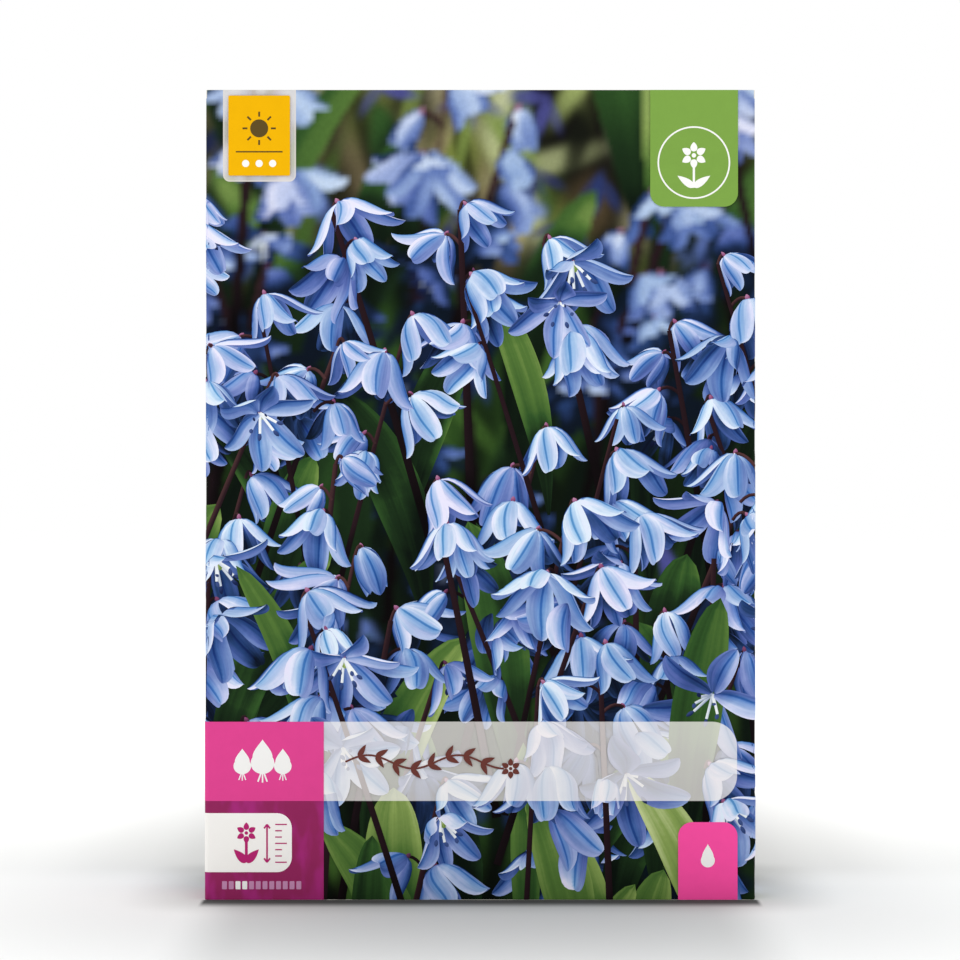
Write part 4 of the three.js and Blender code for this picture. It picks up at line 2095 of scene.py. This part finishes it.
    def _blocks(self) -> None:
        """Prints the colour blocks over the picture."""
        wrap, edge = self.wrap, self.wall_edge
        walls = Area(-wrap.back_start, wrap.back_end, FOOT, TOP - edge)
        white = FlatInk("white_ink", "#F7F5F1", 0.01).material()
        magenta = FlatInk("magenta_ink", "#E04691").material()
        green = FlatInk("green_ink", "#7BA148").material()
        grey = FlatInk("grey_ink", "#BBB6AE", 0.03).material()
        yellow = FlatInk("yellow_ink", "#ECB104").material()
        purple = FlatInk("purple_ink", "#92295C", 0.05, "#AA2E7E").material()
        # Painted light: the class tab's magenta made lighter against the shade near the floor.
        lightened_magenta = FlatInk("magenta_ink_lightened", "#FA50A2").material()
        lift = self.block_lift
        blocks = {
            "yellow_block": (LOGO_FIELD, yellow, lift), "green_tab": (GREEN_TAB, green, lift),
            "count_block": (COUNT_BLOCK, magenta, lift),
            "season_block": (SEASON_BLOCK, purple, lift - 0.015 * MM),
            "icon_panel": (ICON_PANEL, white, lift), "class_tab": (CLASS_TAB, lightened_magenta, lift),
        }
        for name, (area, material, height) in blocks.items():
            self._placed(Stencil(name, wrap, height).block(area).lay(material, walls))
        lid = self._surfaces()["lid"]
        near, far = self.lid_tabs
        top = Area(-wrap.half_width, wrap.half_width, TOP + near, TOP + far)
        for name, area, material in (
            ("lid_grey_tab", LOGO_TAB, grey),
            ("lid_green_tab", GREEN_TAB, green),
        ):
            self._placed(Stencil(name, lid, 0.04 * MM).block(area).lay(material, top), "lid")

    def _front_signs(self) -> None:
        """Prints the small pictograms on the blocks."""
        wrap, lift = self.wrap, self.sign_lift
        white = FlatInk("sign_white", "#F4F3F1", 0.0).material()
        umber = FlatInk("sign_umber", "#6B3A34", 0.0).material()
        magenta = FlatInk("sign_magenta", "#B5276F", 0.0).material()
        dark = FlatInk("sign_dark", "#5C4A24", 0.0).material()
        pale = FlatInk("sign_pale", "#C48BB2", 0.0).material()

        bulbs = Stencil("bulb_sign", wrap, lift, mm(-48.4, 29.2))
        for x, scale in ((-4.5, 0.78), (4.5, 0.78), (0.0, 1.05)):
            draw_bulb(bulbs, (x * MM, -1.4 * MM), 2.5 * MM * scale)
        self._placed(bulbs.lay(white))

        sun = Stencil("sun_sign", wrap, lift, mm(-49.15, 171.4))
        draw_sun(sun, (0, 0), 2.0 * MM)
        sun.line(mm(-5.2, -5.2), mm(5.2, -5.2), 0.3 * MM)
        self._placed(sun.lay(dark))
        dots = Stencil("dot_sign", wrap, lift, mm(-49.15, 163.6))
        for x in (-3, 0, 3):
            dots.disc(mm(x, 0), 0.8 * MM, 0.8 * MM)
        self._placed(dots.lay(white))

        seal = Stencil("seal_sign", wrap, lift, mm(47.4, 163.8))
        seal.ring((0, 0), 7.9 * MM, 0.35 * MM)
        draw_flower(seal, mm(0, 1.6), 2.9 * MM)
        seal.line(mm(0, -1.0), mm(0, -5.6), 0.5 * MM)
        seal.leaf(mm(0, -5.4), 4.4 * MM, 1.7 * MM, 0.6)
        seal.leaf(mm(0, -5.4), 4.4 * MM, 1.7 * MM, math.pi - 0.6)
        self._placed(seal.lay(white))

        flower = Stencil("flower_sign", wrap, lift, mm(-52.0, 12.6))
        draw_flower(flower, mm(0, 2.3), 2.3 * MM)
        flower.line(mm(0, 0.4), mm(0, -4.2), 0.65 * MM)
        flower.leaf(mm(0, -4.2), 4.0 * MM, 1.9 * MM, 0.8)
        flower.leaf(mm(0, -4.2), 4.0 * MM, 1.9 * MM, math.pi - 0.8)
        flower.arrow(mm(4.6, 0), mm(4.6, 4.2), 0.38 * MM, 1.1 * MM)
        flower.arrow(mm(4.6, 0), mm(4.6, -4.2), 0.38 * MM, 1.1 * MM)
        for i in range(7):
            long = 2.6 if i % 3 == 0 else 1.5
            z = -4.2 + 1.4 * i
            flower.line(mm(6.4, z), mm(6.4 + long, z), 0.28 * MM)
        self._placed(flower.lay(magenta))

        months = Stencil("months_sign", wrap, lift, mm(-48.6, 3.3))
        picked = Stencil("picked_months_sign", wrap, lift, mm(-48.6, 3.3))
        for i in range(12):
            x = (i - 5.5) * 1.5
            target = picked if i in (2, 3) else months
            target.block(Area.mm(x - 0.55, x + 0.55, -0.9, 0.9, 0.2))
        self._placed(months.lay(pale))
        self._placed(picked.lay(white))

        drop = Stencil("drop_sign", wrap, lift, mm(50.5, 9.4))
        drop.disc(mm(0, -0.6), 1.55 * MM, 1.55 * MM)
        drop.leaf(mm(0, -0.9), 4.0 * MM, 3.0 * MM, math.pi / 2, 1.6)
        self._placed(drop.lay(white))

        sprig = Stencil("sprig_sign", wrap, lift, mm(-12.4, 30.7))
        draw_sprig(sprig, 17.6 * MM, 1.5 * MM)
        self._placed(sprig.lay(umber))

    def _back_signs(self) -> None:
        """Prints how to plant the bulbs, all in pictures, on the back."""
        wrap = self.wrap
        middle = wrap.back_middle
        low, lift = 0.05 * MM, 0.07 * MM
        soil = FlatInk("sign_soil", "#7A5A44", 0.05).material()
        magenta = FlatInk("back_magenta", "#DE4790", 0.02).material()
        green = FlatInk("back_green", "#82AB4D", 0.02).material()
        blue = FlatInk("back_blue", "#6F86C6", 0.02).material()
        yellow = FlatInk("back_yellow", "#F8BA08", 0.02).material()
        dark = FlatInk("back_dark", "#4B4A4A", 0.0).material()
        white = FlatInk("back_white", "#F4F3F1", 0.0).material()

        def stencil(name: str, x: float, z: float, height: float = lift) -> Stencil:
            """Starts a drawing on the back, its middle in millimetres from the back's."""
            return Stencil(name, wrap, height, (middle + x * MM, z * MM))

        self._placed(stencil("back_band", 0, 157, low).block(Area.mm(-53, 53, -8, 8)).lay(magenta))
        crown = stencil("back_band_sign", 0, 157)
        for x in (-30, -15, 0, 15, 30):
            draw_flower(crown, mm(x, 0), 4.2 * MM)
        self._placed(crown.lay(white))

        ground = stencil("soil_sign", -24, 86, low)
        ground.block(Area.mm(-20, 20, -16, 4, 1.0))
        self._placed(ground.lay(soil))
        planted = stencil("planted_bulb_sign", -24, 86)
        for x in (-11, 3):
            draw_bulb(planted, mm(x, -9), 3.0 * MM)
        self._placed(planted.lay(white))
        grown = stencil("grown_flower_sign", -24, 86)
        for x in (-11, 3):
            grown.line(mm(x, 4), mm(x, 15), 0.8 * MM)
            grown.leaf(mm(x, 4), 9 * MM, 2.6 * MM, 1.05)
            grown.leaf(mm(x, 4), 9 * MM, 2.6 * MM, math.pi - 1.05)
        self._placed(grown.lay(green))
        heads = stencil("flower_head_sign", -24, 86)
        for x in (-11, 3):
            draw_flower(heads, mm(x, 17), 3.4 * MM)
        self._placed(heads.lay(blue))
        depth = stencil("depth_sign", -24, 86)
        for ends in ((mm(14, -6), mm(14, 3.4)), (mm(14, -6), mm(14, -15.4))):
            depth.arrow(*ends, 0.6 * MM, 2.0 * MM)
        self._placed(depth.lay(white))

        spacing = stencil("spacing_sign", 27, 86)
        for x in (-11, 11):
            draw_bulb(spacing, mm(x, -4), 4.2 * MM)
        self._placed(spacing.lay(soil))
        gap = stencil("gap_sign", 27, 86)
        gap.arrow(mm(0, -13), mm(-11, -13), 0.6 * MM, 2.0 * MM)
        gap.arrow(mm(0, -13), mm(11, -13), 0.6 * MM, 2.0 * MM)
        for x in (-11, 11):
            gap.line(mm(x, -10), mm(x, -16), 0.5 * MM)
        self._placed(gap.lay(dark))

        grey = FlatInk("back_grey", "#C9C6C1", 0.0).material()
        rest, plant, bloom = (
            stencil(f"{name}_months_sign", 6, 52) for name in ("other", "planting", "flowering")
        )
        for z, months, chosen in ((5, (8, 9, 10), plant), (-5, (2, 3), bloom)):
            for i in range(12):
                x = (i - 5.5) * 6.0
                target = chosen if i in months else rest
                target.block(Area.mm(x - 2.4, x + 2.4, z - 3, z + 3, 0.7))
        self._placed(rest.lay(grey))
        self._placed(plant.lay(soil))
        self._placed(bloom.lay(blue))
        keys = stencil("planting_key_sign", -41, 52)
        draw_bulb(keys, mm(0, 4), 2.4 * MM)
        self._placed(keys.lay(soil))
        keys = stencil("flowering_key_sign", -41, 52)
        draw_flower(keys, mm(0, -5), 2.8 * MM)
        self._placed(keys.lay(blue))

        light = stencil("light_sign", 0, 134)
        draw_sun(light, mm(-26, 0), 4.0 * MM)
        draw_sun(light, mm(0, 0), 4.0 * MM)
        self._placed(light.lay(yellow))
        shade = stencil("half_shade_sign", 0, 134, lift + 0.02 * MM)
        shade.half_disc(mm(0, 0), 4.0 * MM)
        self._placed(shade.lay(dark))
        water = stencil("water_sign", 26, 134)
        water.disc(mm(0, -1.6), 3.3 * MM, 3.3 * MM)
        water.leaf(mm(0, -2.2), 9.4 * MM, 6.4 * MM, math.pi / 2, 1.6)
        self._placed(water.lay(blue))


def draw_bulb(sign: Stencil, foot: Point, radius: float) -> None:
    """Draws a bulb with its nose up and three roots.

    Args:
        sign: What it is drawn on.
        foot: Its foot.
        radius: Its radius.
    """
    s, z = foot
    sign.disc((s, z + radius), radius, radius * 0.92)
    sign.leaf((s, z + radius * 0.9), radius * 2.1, radius * 1.9, math.pi / 2, 1.4)
    for turn in (-0.45, 0.0, 0.45):
        across, down = math.sin(turn), math.cos(turn)
        start = (s + radius * 0.3 * across, z + radius * 0.15)
        end = (s + radius * 0.9 * across, z + radius * 0.1 - radius * 0.75 * down)
        sign.line(start, end, radius * 0.13)


def draw_flower(sign: Stencil, middle: Point, radius: float) -> None:
    """Draws an open flower: six petals round a small disc.

    Args:
        sign: What it is drawn on.
        middle: Its middle.
        radius: Its radius.
    """
    for i in range(6):
        turn = math.pi / 2 + i * math.tau / 6
        start = (middle[0] + radius * 0.3 * math.cos(turn), middle[1] + radius * 0.3 * math.sin(turn))
        sign.leaf(start, radius * 0.72, radius * 0.52, turn, 0.7)
    sign.disc(middle, radius * 0.17, radius * 0.17)


def draw_sun(sign: Stencil, middle: Point, radius: float) -> None:
    """Draws a sun: a disc and eight rays.

    Args:
        sign: What it is drawn on.
        middle: Its middle.
        radius: The disc's radius.
    """
    sign.disc(middle, radius, radius)
    for i in range(8):
        turn = i * math.tau / 8
        ends = [
            (middle[0] + r * math.cos(turn), middle[1] + r * math.sin(turn))
            for r in (radius * 1.3, radius * 1.85)
        ]
        sign.line(*ends, radius * 0.2)


def draw_sprig(sign: Stencil, half: float, wave: float) -> None:
    """Draws a waving sprig with leaves on both sides and a flower at its end.

    Args:
        sign: What it is drawn on.
        half: Half its length.
        wave: How far it waves up and down.
    """
    steps = 36
    points = [
        (-half + 2 * half * i / steps, wave * math.sin(i / steps * math.tau * 1.75))
        for i in range(steps + 1)
    ]
    for a, b in zip(points, points[1:]):
        sign.line(a, b, 0.42 * MM)
    for i in range(3, steps - 2, 4):
        (a, b), (c, d) = points[i - 1], points[i + 1]
        way = math.atan2(d - b, c - a)
        for side in (0.75, -0.75):
            sign.leaf(points[i], 3.1 * MM, 1.25 * MM, way + side)
    draw_flower(sign, (half + 1.5 * MM, points[-1][1]), 2.2 * MM)


# The bulbs
# ---------


@dataclass
class BulbHeap:
    """The bulbs in the carton: papery skins, a pointed nose and a root plate.

    The profile is a bulb's outline from root to nose, out of the axis and along it, for a bulb
    of size one. Nose, root and plain root are how far a bulb's ends lie from its middle.
    """

    steps: int = 26
    seed: int = 3
    slim: float = 0.965
    nose: float = 0.985
    root: float = 0.89
    plain_root: float = 0.9
    profile: tuple[Point, ...] = (
        (0.0, -0.86), (0.2, -0.89), (0.34, -0.88), (0.42, -0.83), (0.62, -0.73), (0.80, -0.52),
        (0.91, -0.26), (0.95, 0.0), (0.92, 0.2), (0.82, 0.42), (0.66, 0.6), (0.48, 0.75),
        (0.30, 0.85), (0.17, 0.92), (0.08, 0.97), (0.0, 0.985),
    )

    def build(self) -> None:
        """Makes a finer bulb in place of each plain one."""
        rng = Random(self.seed)
        tunic = TunicFinish().material()
        for name in sorted(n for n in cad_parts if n.startswith("bulb")):
            piece = self._bulb(rng, name, tunic)
            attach(piece, "carton")
            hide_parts(name)
        log.info("bulbs: finer ones in the carton")

    def _pose(self, name: str) -> tuple[Vector, Vector, float]:
        """Reads how a plain bulb lies: its ten smallest faces are its nose.

        Args:
            name: The plain bulb's node.

        Returns:
            Its middle, the way its nose points, and its size.
        """
        mesh = bmesh.new()
        mesh.from_mesh(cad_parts[name].data)
        faces = sorted(mesh.faces, key=lambda f: f.calc_area())[:10]
        axis = sum((f.normal for f in faces), Vector()).normalized()
        reach = [v.co.dot(axis) for v in mesh.verts]
        size = (max(reach) - min(reach)) / (self.nose + self.plain_root)
        tip = sum((f.calc_center_median() for f in faces), Vector()) / len(faces)
        mesh.free()
        return tip - axis * self.nose * size, axis, size

    def _bulb(self, rng: Random, name: str, tunic: Material) -> Piece:
        """Turns one bulb's outline round its axis and crumples its skins.

        Args:
            rng: The source of chance.
            name: The plain bulb's node.
            tunic: The skins' material.

        Returns:
            The bulb.
        """
        middle, axis, size = self._pose(name)
        mesh = bmesh.new()
        points = [mesh.verts.new((r, 0, z)) for r, z in self.profile]
        edges = [mesh.edges.new(pair) for pair in zip(points, points[1:])]
        bmesh.ops.spin(
            mesh, geom=points + edges, cent=(0, 0, 0), axis=(0, 0, 1), dvec=(0, 0, 0),
            angle=math.tau, steps=self.steps, use_merge=True, use_duplicate=False,
        )
        bmesh.ops.remove_doubles(mesh, verts=mesh.verts[:], dist=0.002)
        bmesh.ops.recalc_face_normals(mesh, faces=mesh.faces[:])
        skin = mesh.verts.layers.float_vector.new("skin")
        tint = mesh.verts.layers.float_color.new("tint")
        ribs = [
            (rng.randint(5, 13), rng.uniform(0, math.tau), rng.uniform(0.004, 0.014))
            for _ in range(3)
        ]
        shift, phase = rng.random(), rng.uniform(0, 50)
        lean = rng.uniform(-0.1, 0.1)
        turn = Vector((0, 0, 1)).rotation_difference(axis).to_matrix()
        for vert in mesh.verts:
            x, y, z = vert.co
            angle = math.atan2(y, x)
            crumple = sum(a * math.sin(n * angle + p + 2.0 * z) for n, p, a in ribs)
            factor = 0.98 + crumple * (1 - abs(z) ** 3)
            vert[skin] = (math.cos(angle) * 1.4 + phase, math.sin(angle) * 1.4, z * 0.35)
            vert[tint] = (shift, (z + self.root) / (self.nose + self.root), 0.0, 1.0)
            bent = Vector((x * factor + lean * max(z, 0) ** 2 * 0.6, y * factor, z))
            vert.co = middle + turn @ (bent * size * self.slim)
        for face in mesh.faces:
            face.smooth = True
        return finished(name + "_skins", mesh, [tunic])


# Stage
# -----


@dataclass
class Stage:
    """The floor, the light and the camera. A lamp is its name, place, width and power."""

    wrap: Wrap
    eye_height: float = 93.3 * MM
    eye_distance: float = 592.6 * MM
    eye_shift: float = -0.1 * MM
    lens: float = 100.0
    sensor: float = 36.0
    floor_tint: Colour = (0.995, 1.0, 0.985, 1.0)
    lamps: tuple[tuple[str, Place, float, float], ...] = (
        ("above", (0.0, 0.45, 1.3), 1.0, 6.0),
        ("front", (-0.5, -1.6, 0.8), 1.2, 2.2),
    )

    def build(self) -> None:
        """Sets up the floor, the world, the lights and the camera."""
        self._camera()
        self._floor()
        self._lights()

    def _camera(self) -> None:
        """Puts the camera square in front of the carton."""
        camera = bpy.data.cameras.new("camera")
        camera.lens = self.lens
        camera.sensor_width = self.sensor
        camera.clip_start = 0.01
        eye = bpy.data.objects.new("camera", camera)
        front = -self.wrap.half_depth
        eye.location = (self.eye_shift, front - self.eye_distance, self.eye_height)
        eye.rotation_euler = (math.pi / 2, 0, 0)
        bpy.context.scene.collection.objects.link(eye)
        bpy.context.scene.camera = eye

    def _floor(self) -> None:
        """Lays a wide pale floor, with a painted shadow that darkens it close to the carton."""
        mesh = bmesh.new()
        bmesh.ops.create_grid(mesh, x_segments=8, y_segments=8, size=8.0)
        nodes = Nodes("floor")
        x, y, _ = nodes.place()
        wide, deep = self.wrap.half_width, self.wrap.half_depth
        aside = (abs(x) - wide).most(0)
        before = (y * -1 - deep).most(0)
        away = (aside**2 + before**2 + (y - deep).most(0) ** 2) ** 0.5
        far = away.step(0.3, 0.9)
        # Painted shade: the floor's tone falls from pale far away to darker close to the carton.
        tone = 0.60 + away.step(0, 22 * MM) * 0.2 + away.step(26 * MM, 165 * MM) * 0.18
        tone = tone + far * 0.02
        # Painted shade: behind the corners, cast in front, and a dark line at the carton's foot.
        painted_rear_shade = y.step(2 * MM, 32 * MM) * y.step(240 * MM, 150 * MM)
        near = aside.step(24 * MM, 4 * MM) * 0.13 + aside.step(50 * MM, 18 * MM) * 0.12
        tone = tone * (1 - painted_rear_shade * (near + 0.05))
        # Painted shadow cast forward over the floor in front of the carton.
        within = (wide - abs(x)).step(-5 * MM, 12 * MM)
        painted_cast_shadow = before.step(0, 6 * MM) * before.step(160 * MM, 30 * MM) * within
        # Painted dark contact shadow in a thin line along the carton's front foot.
        painted_contact_shadow = before.step(11.5 * MM, 3 * MM) * before.step(0, 0.01 * MM)
        painted_contact_shadow = painted_contact_shadow * aside.step(1.2 * MM, 0)
        tone = tone * (1 - painted_cast_shadow * 0.25) * (1 - painted_contact_shadow * 0.85)
        shade = nodes.ramp(tone, ((0.0, "#000000"), (1.0, "#FFFFFF")))
        colour = nodes.mix(shade, self.floor_tint, 1 - far, "MULTIPLY")
        material = nodes.surface(Base_Color=colour, Roughness=0.95, Specular_IOR_Level=0.0)
        floor = finished("floor", mesh, [material])

    def _lights(self) -> None:
        """Sets even white light all round, a lamp above and behind, and a weak one in front."""
        world = bpy.data.worlds.new("world")
        world.use_nodes = True
        world.node_tree.nodes["Background"].inputs[0].default_value = (1.0, 1.0, 1.0, 1.0)
        world.node_tree.nodes["Background"].inputs[1].default_value = 1.0
        bpy.context.scene.world = world
        bpy.context.scene.view_settings.view_transform = "Standard"
        for name, place, size, power in self.lamps:
            data = bpy.data.lights.new(name, "AREA")
            data.size = size
            data.energy = power
            light = bpy.data.objects.new(name, data)
            light.location = place
            aim = Vector(place) - Vector((0, 0, 0.09))
            light.rotation_euler = aim.to_track_quat("Z", "Y").to_euler()
            bpy.context.scene.collection.objects.link(light)


def main() -> None:
    """Builds the stage, the bulbs and the carton, sized from the sleeve."""
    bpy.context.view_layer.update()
    sleeve_low, sleeve_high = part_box("sleeve")
    wrap = Wrap((sleeve_high.x - sleeve_low.x) / 2, (sleeve_high.y - sleeve_low.y) / 2)
    Stage(wrap).build()
    BulbHeap().build()
    Carton(wrap, BoardFinish().material()).build()


if __name__ == "__main__":
    main()
